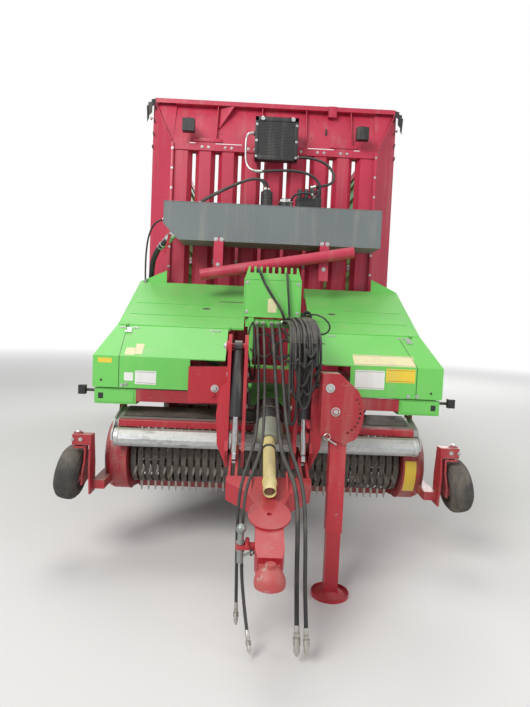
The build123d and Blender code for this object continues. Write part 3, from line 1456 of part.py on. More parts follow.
# Tailgate and its two cylinders beside the body
gate_low_z, gate_high_z = floor_top_z + 15, sheet_high_z - 10
gate_x = wall_x - 10
gate_y = tail_y + 10
with BuildPart() as tailgate:
    block((-gate_x, gate_x), (gate_y, gate_y + 6), (gate_low_z, gate_high_z))
    for z in (gate_low_z, (gate_low_z + gate_high_z) / 2, gate_high_z - 70):
        block((-gate_x, gate_x), (gate_y + 6, gate_y + 70), (z, z + 70))
    for x in (-gate_x, -lug_x - 35, -35, lug_x - 35, gate_x - 70):
        block((x, x + 70), (gate_y + 6, gate_y + 70), (gate_low_z, gate_high_z))
    for side in (-1, 1):
        side_plate(
            (
                (gate_y + 6, gate_high_z - 60), (gate_y + 70, gate_high_z - 60),
                (gate_hinge_y + 28, gate_hinge_z), (gate_hinge_y + 14, gate_hinge_z + 25),
                (gate_hinge_y - 14, gate_hinge_z + 25), (gate_hinge_y - 28, gate_hinge_z),
            ),
            side * lug_x - lug_t / 2,
            lug_t,
        )
        cross_rod(
            (side * lug_x - lug_t, side * lug_x + lug_t), gate_hinge_y, gate_hinge_z, gate_pin_r + shaft_fit,
            mode=Mode.SUBTRACT,
        )
        edge = sorted((side * (gate_x - 1), side * (wall_x + 8)))
        block(edge, (gate_y + 10, gate_y + 66), (gate_eye_z - 50, gate_eye_z + 50))
        # the rod's eye rides beside this boss, since the linkage is opened there
        boss = sorted((side * (wall_x + 7), side * (ram_x - 18 - pin_fit)))
        cross_rod(boss, gate_eye_y, gate_eye_z, gate_pin_r + 6)
tailgate.part.label = "tailgate"
export_step(tailgate.part, "parts/tailgate.step")

gate_ram_length = hypot(gate_eye_y - gate_base_y, gate_eye_z - gate_base_z)
gate_ram_way = Vector(0, gate_eye_y - gate_base_y, gate_eye_z - gate_base_z).normalized()
gate_barrel_r, gate_rod_r = 30, 16
gate_barrel_end = gate_ram_length - 60
piston = (86, 110)
for name in ("gate_barrels", "gate_rods"):
    with BuildPart() as ram:
        for side in (-1, 1):
            base = Vector(side * ram_x, gate_base_y, gate_base_z)
            tip = Vector(side * ram_x, gate_eye_y, gate_eye_z)
            if name == "gate_barrels":
                cross_rod((base.X - 20, base.X + 20), base.Y, base.Z, 30)
                tube(base + gate_ram_way * 24, base + gate_ram_way * gate_barrel_end, gate_barrel_r)
                tube(base + gate_ram_way * 80, base + gate_ram_way * (gate_barrel_end - 40), 24, mode=Mode.SUBTRACT)
                tube(base + gate_ram_way * 90, base + gate_ram_way * (gate_barrel_end + 1), gate_rod_r + shaft_fit,
                     mode=Mode.SUBTRACT)
                cross_rod((base.X - 25, base.X + 25), base.Y, base.Z, gate_pin_r + shaft_fit, mode=Mode.SUBTRACT)
            else:
                tube(base + gate_ram_way * piston[0], tip - gate_ram_way * 20, gate_rod_r)
                tube(base + gate_ram_way * piston[0], base + gate_ram_way * piston[1], 24 - pin_fit)
                cross_rod((tip.X - 18, tip.X + 18), tip.Y, tip.Z, 28)
                cross_rod(sorted((side * (ram_x + 18), side * (ram_x + 28))), tip.Y, tip.Z, gate_pin_r)
    ram.part.label = name
    export_step(ram.part, f"parts/{name}.step")


# Hoses to the tractor: they leave the glands under the cabinet, hang in front of the
# drive shaft and pass the drawbar on both sides; their couplings hang free

def path_radii(points):
    """The radius of the arc at each inner point, as large as its two runs allow."""
    radii = []
    for before, here, after in zip(points, points[1:], points[2:]):
        run_in = Vector(*here) - Vector(*before)
        run_out = Vector(*after) - Vector(*here)
        half_turn = radians(run_in.get_angle(run_out) / 2)
        radii.append(0.45 * min(run_in.length, run_out.length) / tan(half_turn))
    return radii


def sweep_hose(points, r):
    """A hose of radius r along straight runs joined by arcs."""
    radii = path_radii(points)
    with BuildLine() as route:
        FilletPolyline(*points, radius=radii)
    start = Plane(origin=points[0], z_dir=Vector(*points[1]) - Vector(*points[0]))
    with BuildSketch(start) as section:
        Circle(r)
    sweep(section.sketch, path=route.wires()[0])
    return route.wires()[0].length, min(radii)


hose_routes = {
    # name: radius, points from the gland to the coupling
    "hose_right_inner": (12.5, (
        (0, -2850, 1720), (2, -2960, 1708), (6, -3090, 1640), (14, -3210, 1530), (24, -3325, 1390),
        (36, -3425, 1230), (50, -3520, 1080), (72, -3615, 950), (104, -3705, 892), (138, -3785, 835),
        (153, -3860, 730), (155, -3925, 590), (152, -3985, 440), (154, -4040, 285), (157, -4085, 150),
    )),
    "hose_right_outer": (11, (
        (45, -2850, 1720), (48, -2955, 1710), (54, -3085, 1655), (62, -3215, 1545), (72, -3325, 1395),
        (84, -3420, 1230), (100, -3520, 1085), (124, -3625, 970), (154, -3730, 905), (182, -3820, 820),
        (193, -3895, 700), (195, -3965, 550), (194, -4020, 400), (198, -4070, 265), (204, -4105, 150),
    )),
    "hose_left_inner": (9, (
        (-60, -2850, 1720), (-59, -2945, 1708), (-56, -3060, 1650), (-50, -3175, 1550), (-45, -3290, 1425),
        (-42, -3400, 1290), (-42, -3510, 1160), (-46, -3620, 1065), (-60, -3730, 1000), (-90, -3825, 930),
        (-128, -3875, 845), (-142, -3895, 735), (-144, -3902, 610), (-143, -3906, 485), (-137, -3925, 360),
        (-122, -3965, 250), (-104, -4015, 150), (-92, -4050, 95),
    )),
    "hose_left_outer": (9, (
        (-105, -2850, 1720), (-103, -2940, 1706), (-98, -3050, 1640), (-90, -3160, 1530), (-84, -3270, 1400),
        (-80, -3380, 1270), (-80, -3490, 1150), (-88, -3600, 1060), (-108, -3705, 990), (-140, -3790, 905),
        (-166, -3840, 800), (-172, -3865, 680), (-172, -3880, 555), (-168, -3890, 430), (-164, -3915, 305),
        (-160, -3950, 190),
    )),
}
coupling_sizes = {"hose_right_inner": (17, 95), "hose_right_outer": (15, 80), "hose_left_inner": (12, 62),
                  "hose_left_outer": (12, 62)}
for name, (r, points) in hose_routes.items():
    with BuildPart() as hose:
        length, tightest = sweep_hose(points, r)
    hose.part.label = name
    export_step(hose.part, f"parts/{name}.step")
    share = hose.part.volume / (pi * r**2 * length)
    print(f"{name}: length {length:.0f}, tightest radius {tightest:.0f}, volume share {share:.4f}")

with BuildPart() as hose_couplings:
    for name, (r, length) in coupling_sizes.items():
        points = hose_routes[name][1]
        tip = Vector(*points[-1])
        way = (tip - Vector(*points[-2])).normalized()
        tube(tip, tip + way * length, r)
        tube(tip + way * length * 0.25, tip + way * length * 0.6, r + 3)
        tube(tip + way * length, tip + way * (length + 14), r * 0.6)
hose_couplings.part.label = "hose_couplings"
export_step(hose_couplings.part, "parts/hose_couplings.step")

# A coiled spare hose that hangs on its hook right of the cabinet, ends tied in
with BuildPart() as hose_coil:
    with BuildSketch(Plane.XZ.offset(-coil_y + coil_depth / 2)):
        with Locations((coil_x, coil_top_z - coil_h / 2)):
            SlotOverall(coil_h, coil_w, rotation=90)
            SlotOverall(coil_h - 2 * coil_thick, coil_w - 2 * coil_thick, rotation=90, mode=Mode.SUBTRACT)
    extrude(amount=-coil_depth)
hose_coil.part.label = "hose_coil"
export_step(hose_coil.part, "parts/hose_coil.step")

# Hoses held at both ends: from the tank down behind the cover, and the ones at the comb
fixed_routes = (
    # radius, points
    (24, (
        (-867, -1960, 2463), (-935, -1952, 2400), (-1010, -1905, 2330), (-1062, -1835, 2240),
        (-1088, -1750, 2130), (-1096, -1712, 1985), (-1080, -1715, 1765), (-1030, -1750, 1620),
        (-930, -1850, 1520), (-780, -1980, 1460), (-610, -2120, 1420), (-440, -2270, 1370),
        (-320, -2430, 1315), (-262, -2550, 1265), (-215, -2650, 1225), (-151, -2650, 1225),
    )),
    (10, ((-110, -2790, 2044), (-112, -2850, 2120), (-100, -2900, 2090), (-60, -2905, 2000), (0, -2900, 1910),
          (60, -2895, 1830), (90, -2880, 1760), (95, -2850, 1720))),
)
with BuildPart() as fixed_hoses:
    for r, points in fixed_routes:
        sweep_hose(points, r)
fixed_hoses.part.label = "fixed_hoses"
export_step(fixed_hoses.part, "parts/fixed_hoses.step")
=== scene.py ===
import json
from itertools import product
from math import cos, pi, radians, sin

import bmesh
import bpy
from mathutils import Matrix, Vector


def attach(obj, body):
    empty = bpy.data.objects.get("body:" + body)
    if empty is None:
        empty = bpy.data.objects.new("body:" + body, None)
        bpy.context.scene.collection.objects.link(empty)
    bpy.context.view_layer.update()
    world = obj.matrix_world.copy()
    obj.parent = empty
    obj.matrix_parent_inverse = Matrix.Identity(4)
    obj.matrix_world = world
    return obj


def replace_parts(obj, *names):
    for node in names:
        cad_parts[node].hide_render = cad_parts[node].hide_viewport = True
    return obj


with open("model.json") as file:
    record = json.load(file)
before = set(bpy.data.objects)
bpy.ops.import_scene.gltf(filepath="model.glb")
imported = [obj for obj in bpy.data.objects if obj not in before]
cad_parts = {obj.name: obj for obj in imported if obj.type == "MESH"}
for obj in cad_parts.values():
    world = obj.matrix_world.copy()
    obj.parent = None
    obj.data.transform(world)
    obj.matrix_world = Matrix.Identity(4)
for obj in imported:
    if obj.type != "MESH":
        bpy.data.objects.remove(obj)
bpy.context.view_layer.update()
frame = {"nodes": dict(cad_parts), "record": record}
nodes = frame["nodes"]
scene = bpy.context.scene

SIDES = {-1: "left", 1: "right"}
ACROSS, AHEAD, BACK, UP = Vector((1, 0, 0)), Vector((0, -1, 0)), Vector((0, 1, 0)), Vector((0, 0, 1))

# Camera at the photograph's place: focal length in pixels of the 530 x 707 picture
PHOTO_TALL = 707
FOCAL_PX = 533.11
SENSOR = 36.0
EYE = Vector((-0.130, -6.720, 1.730))
LOOK = Vector((0.023956, 0.997969, -0.059027))
PICTURE_UP = Vector((-0.041604, 0.059988, 0.997333))


def make_camera():
    data = bpy.data.cameras.new("camera")
    data.sensor_width = SENSOR
    data.lens = SENSOR * FOCAL_PX / PHOTO_TALL
    camera = bpy.data.objects.new("camera", data)
    right = LOOK.cross(PICTURE_UP).normalized()
    up = right.cross(LOOK).normalized()
    turn = Matrix((right, up, -LOOK.normalized())).transposed()
    camera.matrix_world = Matrix.Translation(EYE) @ turn.to_4x4()
    scene.collection.objects.link(camera)
    scene.camera = camera


# Helpers: every piece is a mesh or curve in the frame's metres that rides on a body

def finish_piece(obj, material, body="wagon"):
    """Gives a piece its material and its body."""
    obj.data.materials.append(M[material])
    scene.collection.objects.link(obj)
    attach(obj, body)
    return obj


def piece(name, build, material, body="wagon", smooth=None):
    """A mesh object made by build(bm), with edges under the angle smooth shaded smooth."""
    bm = bmesh.new()
    build(bm)
    bmesh.ops.recalc_face_normals(bm, faces=bm.faces)
    mesh = bpy.data.meshes.new(name)
    bm.to_mesh(mesh)
    bm.free()
    if smooth is not None:
        mesh.shade_smooth()
        mesh.set_sharp_from_angle(angle=radians(smooth))
    return finish_piece(bpy.data.objects.new(name, mesh), material, body)


def box(bm, one, other, bevel=0.0):
    """A box between two corners, its edges bevelled."""
    low, high = (Vector(map(pick, one, other)) for pick in (min, max))
    size = high - low
    made = bmesh.ops.create_cube(bm, size=1.0)
    for v in made["verts"]:
        v.co = Vector(v.co[i] * size[i] for i in range(3)) + (low + high) / 2
    if bevel:
        edges = {e for v in made["verts"] for e in v.link_edges}
        bmesh.ops.bevel(bm, geom=list(edges), offset=bevel, segments=2, affect="EDGES", profile=0.6)


def turns(count):
    """Angles that part a full circle evenly."""
    return [2 * pi * k / count for k in range(count)]


def axes_of(way):
    """Two directions square to way, the first as level as it can be."""
    way = Vector(way).normalized()
    across = UP.cross(way)
    if across.length < 0.01:
        across = ACROSS.copy()
    across.normalize()
    return across, way.cross(across)


def skin(bm, rings, closed=True):
    """Faces between rings of vertices."""
    for a, b in zip(rings, rings[1:]):
        for k in range(len(a) if closed else len(a) - 1):
            n = (k + 1) % len(a)
            bm.faces.new((a[k], a[n], b[n], b[k]))


def lathe(bm, start, way, profile, sides=24, cap=True):
    """A turned form: profile is (distance along way, radius) points."""
    across, over = axes_of(way)
    start, way = Vector(start), Vector(way).normalized()
    rings = [
        [bm.verts.new(start + way * along + (across * cos(turn) + over * sin(turn)) * r) for turn in turns(sides)]
        for along, r in profile
    ]
    skin(bm, rings)
    if cap:
        bm.faces.new(rings[0])
        bm.faces.new(rings[-1])


def rod(bm, a, b, r, sides=16, chamfer=0.0):
    """A round bar from a to b with chamfered ends."""
    a, b = Vector(a), Vector(b)
    length = (b - a).length
    c = min(chamfer, length / 3)
    ends = [(0, r - c), (c, r), (length - c, r), (length, r - c)] if c else [(0, r), (length, r)]
    lathe(bm, a, b - a, ends, sides)


def rod_ring(bm, points, r, sides=6):
    """Thin rods from point to point and back to the first."""
    for a, b in zip(points, points[1:] + points[:1]):
        rod(bm, a, b, r, sides)


def hex_head(bm, at, way, across_flats, height, washer=True):
    """A bolt head on its washer."""
    at, way = Vector(at), Vector(way).normalized()
    if washer:
        lathe(bm, at, way, [(0, across_flats * 0.95), (0.003, across_flats * 0.95)], 16)
    r = across_flats * 0.577
    lathe(bm, at + way * 0.002, way, [(0, r), (height * 0.75, r), (height, r * 0.82)], 6)


def plate(bm, points, thick):
    """A flat plate: its outline's points in order, moved by the vector thick."""
    near = [bm.verts.new(Vector(p)) for p in points]
    far = [bm.verts.new(Vector(p) + Vector(thick)) for p in points]
    bm.faces.new(near)
    bm.faces.new(far[::-1])
    skin(bm, [near, far])


def nurbs(name, points, r, resolution=5):
    """A smooth line through the route's control points, with the radius of the hose."""
    data = bpy.data.curves.new(name, "CURVE")
    data.dimensions = "3D"
    data.bevel_depth = r
    data.bevel_resolution = resolution
    data.use_fill_caps = True
    spline = data.splines.new("NURBS")
    spline.points.add(len(points) - 1)
    for point, co in zip(spline.points, points):
        point.co = (*co, 1.0)
    spline.order_u = 3
    spline.use_endpoint_u = True
    spline.resolution_u = 12
    return bpy.data.objects.new(name, data)


def millimetres(points):
    return [Vector(p) / 1000 for p in points]


# Floor, light and background

FLOOR_REACH = 60
FADE_FROM, FADE_TO = 8.0, 22.0
FLOOR_GREY = (0.66, 0.65, 0.63)
ROOM_WHITE = (0.93, 0.96, 1.0)
WORLD_LEVEL = 0.36
BACKDROP_IN_SHINE = 0.35
LAMPS = (
    # name, place, aimed at, side of the square, watts
    ("key", (-6.0, -11.0, 9.0), (0, -1.0, 1.6), 6.0, 1350),
    ("fill", (9.0, -8.0, 5.0), (0, -1.0, 1.4), 6.0, 330),
    ("top", (-2.0, 1.0, 12.0), (0, 0, 1.0), 7.0, 560),
    ("back", (6.0, 12.0, 8.0), (0, 2.0, 1.6), 6.0, 900),
)


def node(tree, kind, inputs=None, **settings):
    """Adds a shader node and gives its outputs; an input is a value or a socket to link."""
    made = tree.nodes.new(f"ShaderNode{kind}")
    for key, value in settings.items():
        setattr(made, key, value)
    for key, value in (inputs or {}).items():
        socket = made.inputs[key]
        if isinstance(value, bpy.types.NodeSocket):
            tree.links.new(value, socket)
        else:
            socket.default_value = (*value, 1) if socket.type == "RGBA" else value
    return made.outputs


def noise(tree, at, scale, detail=4.0, rough=0.55, stretch=None):
    """A noise value; stretch squeezes it along axes, as brushing or running dirt does."""
    if stretch:
        at = node(tree, "Mapping", {"Vector": at, "Scale": stretch})["Vector"]
    return node(tree, "TexNoise", {"Vector": at, "Scale": scale, "Detail": detail, "Roughness": rough})["Fac"]


def between(tree, value, low, high, to_low=0.0, to_high=1.0):
    """Maps value from low..high onto to_low..to_high, held at the ends."""
    ends = {"From Min": low, "From Max": high, "To Min": to_low, "To Max": to_high}
    return node(tree, "MapRange", {"Value": value, **ends})["Result"]


def maths(tree, operation, a, b):
    return node(tree, "Math", {0: a, 1: b}, operation=operation)[0]


def times(tree, a, b):
    return maths(tree, "MULTIPLY", a, b)


def tint(tree, share, a, b):
    """Colour a turning into colour b by share; each is a colour or a socket."""
    return node(tree, "Mix", {0: share, 6: a, 7: b}, data_type="RGBA")[2]


def bumped(tree, height, strength, distance, **under):
    inputs = {"Height": height, "Strength": strength, "Distance": distance, **under}
    return node(tree, "Bump", inputs)["Normal"]


def upward(tree):
    """How much a surface faces up, where dust lies."""
    return node(tree, "SeparateXYZ", {"Vector": node(tree, "NewGeometry")["Normal"]})["Z"]


def new_material(name):
    """An empty material, its nodes and the place in the object's metres."""
    material = bpy.data.materials.new(name)
    material.use_nodes = True
    tree = material.node_tree
    tree.nodes.clear()
    return material, tree, node(tree, "TexCoord")["Object"]


def mixed(tree, out, share, one, other):
    """Ends a tree in a mix of two shaders."""
    node(tree, out, {"Surface": node(tree, "MixShader", {0: share, 1: one[0], 2: other[0]})[0]})


def make_floor():
    bm = bmesh.new()
    bmesh.ops.create_circle(bm, cap_ends=True, segments=96, radius=FLOOR_REACH)
    mesh = bpy.data.meshes.new("floor")
    bm.to_mesh(mesh)
    bm.free()
    floor = bpy.data.objects.new("floor", mesh)
    material, tree, at = new_material("floor_pale")
    away = node(tree, "VectorMath", {0: at}, operation="LENGTH")["Value"]
    seen = node(tree, "LightPath")["Is Camera Ray"]
    share = times(tree, between(tree, away, FADE_FROM, FADE_TO), seen)
    grain = bumped(tree, noise(tree, at, 90.0, 6.0, 0.5), 0.08, 0.004)
    matt = node(tree, "BsdfPrincipled", {"Base Color": FLOOR_GREY, "Roughness": 0.9, "Normal": grain})
    mixed(tree, "OutputMaterial", share, matt, node(tree, "Emission", {"Strength": 1.0}))
    mesh.materials.append(material)
    scene.collection.objects.link(floor)


def make_world():
    world = bpy.data.worlds.new("studio")
    scene.world = world
    world.use_nodes = True
    tree = world.node_tree
    tree.nodes.clear()
    path = node(tree, "LightPath")
    seen = maths(tree, "MAXIMUM", path["Is Camera Ray"], path["Is Transmission Ray"])
    white = maths(tree, "MAXIMUM", seen, times(tree, path["Is Glossy Ray"], BACKDROP_IN_SHINE))
    room = node(tree, "Background", {"Color": ROOM_WHITE, "Strength": WORLD_LEVEL})
    mixed(tree, "OutputWorld", white, room, node(tree, "Background", {"Color": (1, 1, 1), "Strength": 1.0}))


def make_lamps():
    for name, place, target, side, watts in LAMPS:
        data = bpy.data.lights.new(name, "AREA")
        data.size = side
        data.energy = watts
        lamp = bpy.data.objects.new(name, data)
        lamp.location = place
        lamp.rotation_euler = (Vector(target) - Vector(place)).to_track_quat("-Z", "Y").to_euler()
        scene.collection.objects.link(lamp)


# Materials: colour, dust, wear, roughness and bump from nodes in the frame's metres

DUST = (0.46, 0.40, 0.31)
MUD = (0.20, 0.155, 0.105)
SCUFF = (0.16, 0.14, 0.12)


def darker(colour, share):
    return tuple(c * share for c in colour)


def finish(name, colour, rough, metal=0.0, dust=0.35, mud=0.0, mud_top=0.9, wear=0.0,
           worn=(0.30, 0.20, 0.16), fade=None, coat=0.0, grain=320.0, deep=0.0004, height=None):
    """A finished surface. dust lies on top faces, mud splashes up to mud_top, wear chips the
    paint to the worn colour, fade is a second colour in large soft patches, deep is the grain's."""
    material, tree, at = new_material(name)
    cloud = noise(tree, at, 1.7, 5.0)
    fine = noise(tree, at, 38.0, 6.0, 0.65)
    now = tint(tree, between(tree, cloud, 0.38, 0.66, 0.0, 0.6), colour, fade or darker(colour, 0.78))
    streak = noise(tree, at, 9.0, 5.0, 0.6, stretch=(1.0, 1.0, 0.09))
    now = tint(tree, between(tree, streak, 0.52, 0.76, 0.0, 0.16 + 0.3 * dust), now, DUST)
    if wear:
        chip = noise(tree, at, 16.0, 9.0, 0.72)
        chipped = between(tree, chip, 0.70 - 0.16 * wear, 0.72 - 0.15 * wear)
        now = tint(tree, times(tree, chipped, 0.85), now, worn)
        scratch = noise(tree, at, 30.0, 3.0, 0.5, stretch=(0.5, 0.12, 4.0))
        scratched = between(tree, scratch, 0.71 - 0.05 * wear, 0.73 - 0.05 * wear, 0.0, 0.5)
        now = tint(tree, scratched, now, worn)
    patches = between(tree, fine, 0.30, 0.75, 0.25, 1.0)
    lying = times(tree, between(tree, upward(tree), 0.25, 0.95), patches)
    now = tint(tree, times(tree, lying, dust), now, DUST)
    if mud:
        z = node(tree, "SeparateXYZ", {"Vector": at})["Z"]
        low = between(tree, z, mud_top, mud_top * 0.2)
        splash = between(tree, noise(tree, at, 13.0, 9.0, 0.7), 0.44, 0.60)
        now = tint(tree, times(tree, times(tree, low, splash), mud), now, MUD)
    shine = between(tree, fine, 0.25, 0.8, rough - 0.08, rough + 0.14)
    skin_bump = bumped(tree, height(tree, at) if height else noise(tree, at, grain, 3.0), 0.55, deep)
    inputs = {"Base Color": now, "Roughness": shine, "Metallic": metal,
              "Normal": bumped(tree, cloud, 0.25, 0.012, Normal=skin_bump)}
    if coat:
        inputs.update({"Coat Weight": coat, "Coat Roughness": 0.22})
    node(tree, "OutputMaterial", {"Surface": node(tree, "BsdfPrincipled", inputs)["BSDF"]})
    return material


def galvanised(colour, rough, dust):
    """Zinc-coated sheet with its spangle of crystals and dull grey runs."""
    material, tree, at = new_material("galvanised")
    cells = node(tree, "TexVoronoi", {"Vector": at, "Scale": 48.0})["Color"]
    crystal = node(tree, "SeparateXYZ", {"Vector": cells})["X"]
    cloud = noise(tree, at, 3.2, 6.0)
    now = tint(tree, between(tree, crystal, 0.0, 1.0, 0.0, 0.42), colour, darker(colour, 0.66))
    now = tint(tree, between(tree, cloud, 0.42, 0.66, 0.0, 0.5), now, darker(colour, 0.72))
    scuff = noise(tree, at, 14.0, 8.0, 0.7, stretch=(0.25, 1.0, 1.0))
    now = tint(tree, between(tree, scuff, 0.56, 0.66, 0.0, 0.6), now, SCUFF)
    now = tint(tree, between(tree, upward(tree), 0.2, 0.95, 0.0, dust), now, DUST)
    shine = between(tree, crystal, 0.0, 1.0, rough - 0.08, rough + 0.12)
    inputs = {"Base Color": now, "Roughness": shine, "Metallic": 0.75, "Normal": bumped(tree, scuff, 0.3, 0.0006)}
    node(tree, "OutputMaterial", {"Surface": node(tree, "BsdfPrincipled", inputs)["BSDF"]})
    return material


def weave(tree, at):
    """The fine diagonal wrap of a hydraulic hose's cover."""
    turned = node(tree, "Mapping", {"Vector": at, "Scale": (1.0, 1.0, 1.6)})["Vector"]
    return node(tree, "TexWave", {"Vector": turned, "Scale": 160.0, "Distortion": 0.6})["Fac"]


def boards(tree, at):
    """The joints between floor boards."""
    return node(tree, "TexWave", {"Vector": at, "Scale": 3.4, "Distortion": 0.0}, wave_profile="SAW")["Fac"]


M = {
    # slots of the CAD nodes
    "tyre": finish("tyre_rubber", (0.030, 0.030, 0.031), 0.78, dust=0.3, mud=0.28, mud_top=1.3,
        fade=(0.050, 0.048, 0.044), grain=180.0, deep=0.0008),
    "rim_paint": finish("rim_red", (0.46, 0.018, 0.03), 0.42, dust=0.5, mud=0.5, wear=0.25, coat=0.2),
    "frame_red": finish("chassis_red", (0.36, 0.014, 0.026), 0.45, dust=0.6, mud=0.35, mud_top=1.5, wear=0.35,
        coat=0.15),
    "bright_red": finish("tower_red", (0.44, 0.016, 0.030), 0.42, dust=0.12, wear=0.22, coat=0.15,
        fade=(0.36, 0.02, 0.028)),
    "worn_red": finish("drawbar_red", (0.45, 0.024, 0.034), 0.5, dust=0.18, wear=0.7, worn=(0.40, 0.30, 0.26),
        fade=(0.42, 0.12, 0.11), mud=0.3),
    "body_red": finish("wall_red", (0.50, 0.028, 0.068), 0.44, dust=0.12, wear=0.08, coat=0.10,
        fade=(0.40, 0.02, 0.05)),
    "side_green": finish("side_green", (0.055, 0.33, 0.075), 0.4, dust=0.3, coat=0.2),
    "cover_green": finish("cover_green", (0.155, 0.56, 0.105), 0.46, dust=0.12, wear=0.05, coat=0.08,
        worn=(0.30, 0.34, 0.26), fade=(0.125, 0.50, 0.09)),
    "tank_grey": finish("tank_grey", (0.155, 0.175, 0.178), 0.48, dust=0.4, wear=0.12, worn=(0.30, 0.30, 0.29),
        coat=0.12),
    "dark_steel": finish("dark_steel", (0.050, 0.050, 0.052), 0.5, metal=0.35, dust=0.6, wear=0.3,
        worn=(0.20, 0.15, 0.12)),
    "red_rotor": finish("rotor_red", (0.34, 0.02, 0.02), 0.5, dust=0.5, wear=0.8, worn=(0.42, 0.40, 0.38)),
    "zinc": galvanised((0.60, 0.62, 0.61), 0.46, 0.45),
    "cylinder_black": finish("cylinder_black", (0.020, 0.020, 0.022), 0.42, dust=0.55, wear=0.1, coat=0.2),
    "chrome_rod": finish("chrome", (0.72, 0.73, 0.74), 0.16, metal=1.0, dust=0.12, fade=(0.62, 0.63, 0.64),
        deep=0.00005),
    "tine_steel": finish("tine_steel", (0.30, 0.27, 0.24), 0.42, metal=0.8, dust=0.3, wear=0.5,
        worn=(0.22, 0.12, 0.07), fade=(0.22, 0.19, 0.16)),
    "band_black": finish("band_steel", (0.095, 0.085, 0.075), 0.5, metal=0.4, dust=0.5, wear=0.7,
        worn=(0.25, 0.20, 0.16)),
    "guard_yellow": finish("guard_yellow", (0.74, 0.60, 0.20), 0.5, dust=0.5, wear=0.25,
        worn=(0.30, 0.26, 0.17), fade=(0.66, 0.56, 0.27)),
    "floor_wood": finish("floor_boards", (0.17, 0.115, 0.070), 0.62, dust=0.7, wear=0.5,
        worn=(0.25, 0.20, 0.14), height=boards, deep=0.004),
    "black_plastic": finish("black_plastic", (0.018, 0.018, 0.019), 0.5, dust=0.3, grain=700.0),
    "hose_rubber": finish("hose_rubber", (0.018, 0.018, 0.019), 0.48, dust=0.16, fade=(0.034, 0.033, 0.029),
        height=weave, deep=0.0006),
    "fitting_steel": finish("fitting_steel", (0.50, 0.49, 0.45), 0.36, metal=0.9, dust=0.3, wear=0.35,
        worn=(0.26, 0.20, 0.14)),
    # further materials of the scene's own pieces
    "cone": finish("cone_grey", (0.20, 0.235, 0.175), 0.55, dust=0.6, fade=(0.27, 0.27, 0.2)),
    "white_plate": finish("white_plate", (0.78, 0.78, 0.75), 0.4, fade=(0.70, 0.71, 0.68)),
    "yellow_plate": finish("yellow_plate", (0.80, 0.58, 0.05), 0.42, wear=0.1, worn=(0.55, 0.45, 0.2)),
    "pale_plate": finish("pale_plate", (0.78, 0.72, 0.40), 0.42, wear=0.1, worn=(0.5, 0.5, 0.3)),
    "red_lens": finish("red_lens", (0.52, 0.01, 0.01), 0.16, dust=0.2, coat=0.5),
    "amber_lens": finish("amber_lens", (0.78, 0.25, 0.01), 0.16, dust=0.2, coat=0.5),
    "string": finish("string", (0.74, 0.72, 0.64), 0.85, dust=0.2, grain=900.0),
    "silver": finish("silver_cap", (0.66, 0.67, 0.66), 0.3, metal=0.85, dust=0.3),
    "tine_tip": finish("tine_tip", (0.42, 0.39, 0.35), 0.4, metal=0.5, dust=0.3, wear=0.4,
        worn=(0.22, 0.14, 0.09)),
    "pin_grey": finish("pin_grey", (0.30, 0.33, 0.31), 0.4, metal=0.6, dust=0.2, wear=0.3,
        worn=(0.30, 0.16, 0.12)),
}


def dress_nodes():
    """Gives every CAD node its slot's material."""
    for part in frame["record"]["subparts"]:
        materials = nodes[part["node"]].data.materials
        materials.clear()
        materials.append(M[part["material_slot"]])


# Hoses to the tractor: routes in millimetres, from the gland to the coupling

HOSES = {
    # name: radius, its coupling's radius and length, length in metres, route
    "hose_right_inner": (12.5, 17, 95, 2.094, (
        (0, -2850, 1720), (2, -2960, 1708), (6, -3090, 1640), (14, -3210, 1530), (24, -3325, 1390),
        (36, -3425, 1230), (50, -3520, 1080), (72, -3615, 950), (104, -3705, 892), (138, -3785, 835),
        (153, -3860, 730), (155, -3925, 590), (152, -3985, 440), (154, -4040, 285), (157, -4085, 150),
    )),
    "hose_right_outer": (11, 15, 80, 2.109, (
        (45, -2850, 1720), (48, -2955, 1710), (54, -3085, 1655), (62, -3215, 1545), (72, -3325, 1395),
        (84, -3420, 1230), (100, -3520, 1085), (124, -3625, 970), (154, -3730, 905), (182, -3820, 820),
        (193, -3895, 700), (195, -3965, 550), (194, -4020, 400), (198, -4070, 265), (204, -4105, 150),
    )),
    "hose_left_inner": (9, 12, 62, 2.174, (
        (-60, -2850, 1720), (-59, -2945, 1708), (-56, -3060, 1650), (-50, -3175, 1550), (-45, -3290, 1425),
        (-42, -3400, 1290), (-42, -3510, 1160), (-46, -3620, 1065), (-60, -3730, 1000), (-90, -3825, 930),
        (-128, -3875, 845), (-142, -3895, 735), (-144, -3902, 610), (-143, -3906, 485), (-137, -3925, 360),
        (-122, -3965, 250), (-104, -4015, 150), (-92, -4050, 95),
    )),
    "hose_left_outer": (9, 12, 62, 2.010, (
        (-105, -2850, 1720), (-103, -2940, 1706), (-98, -3050, 1640), (-90, -3160, 1530), (-84, -3270, 1400),
        (-80, -3380, 1270), (-80, -3490, 1150), (-88, -3600, 1060), (-108, -3705, 990), (-140, -3790, 905),
        (-166, -3840, 800), (-172, -3865, 680), (-172, -3880, 555), (-168, -3890, 430), (-164, -3915, 305),
        (-160, -3950, 190),
    )),
}
GROOVES = 5


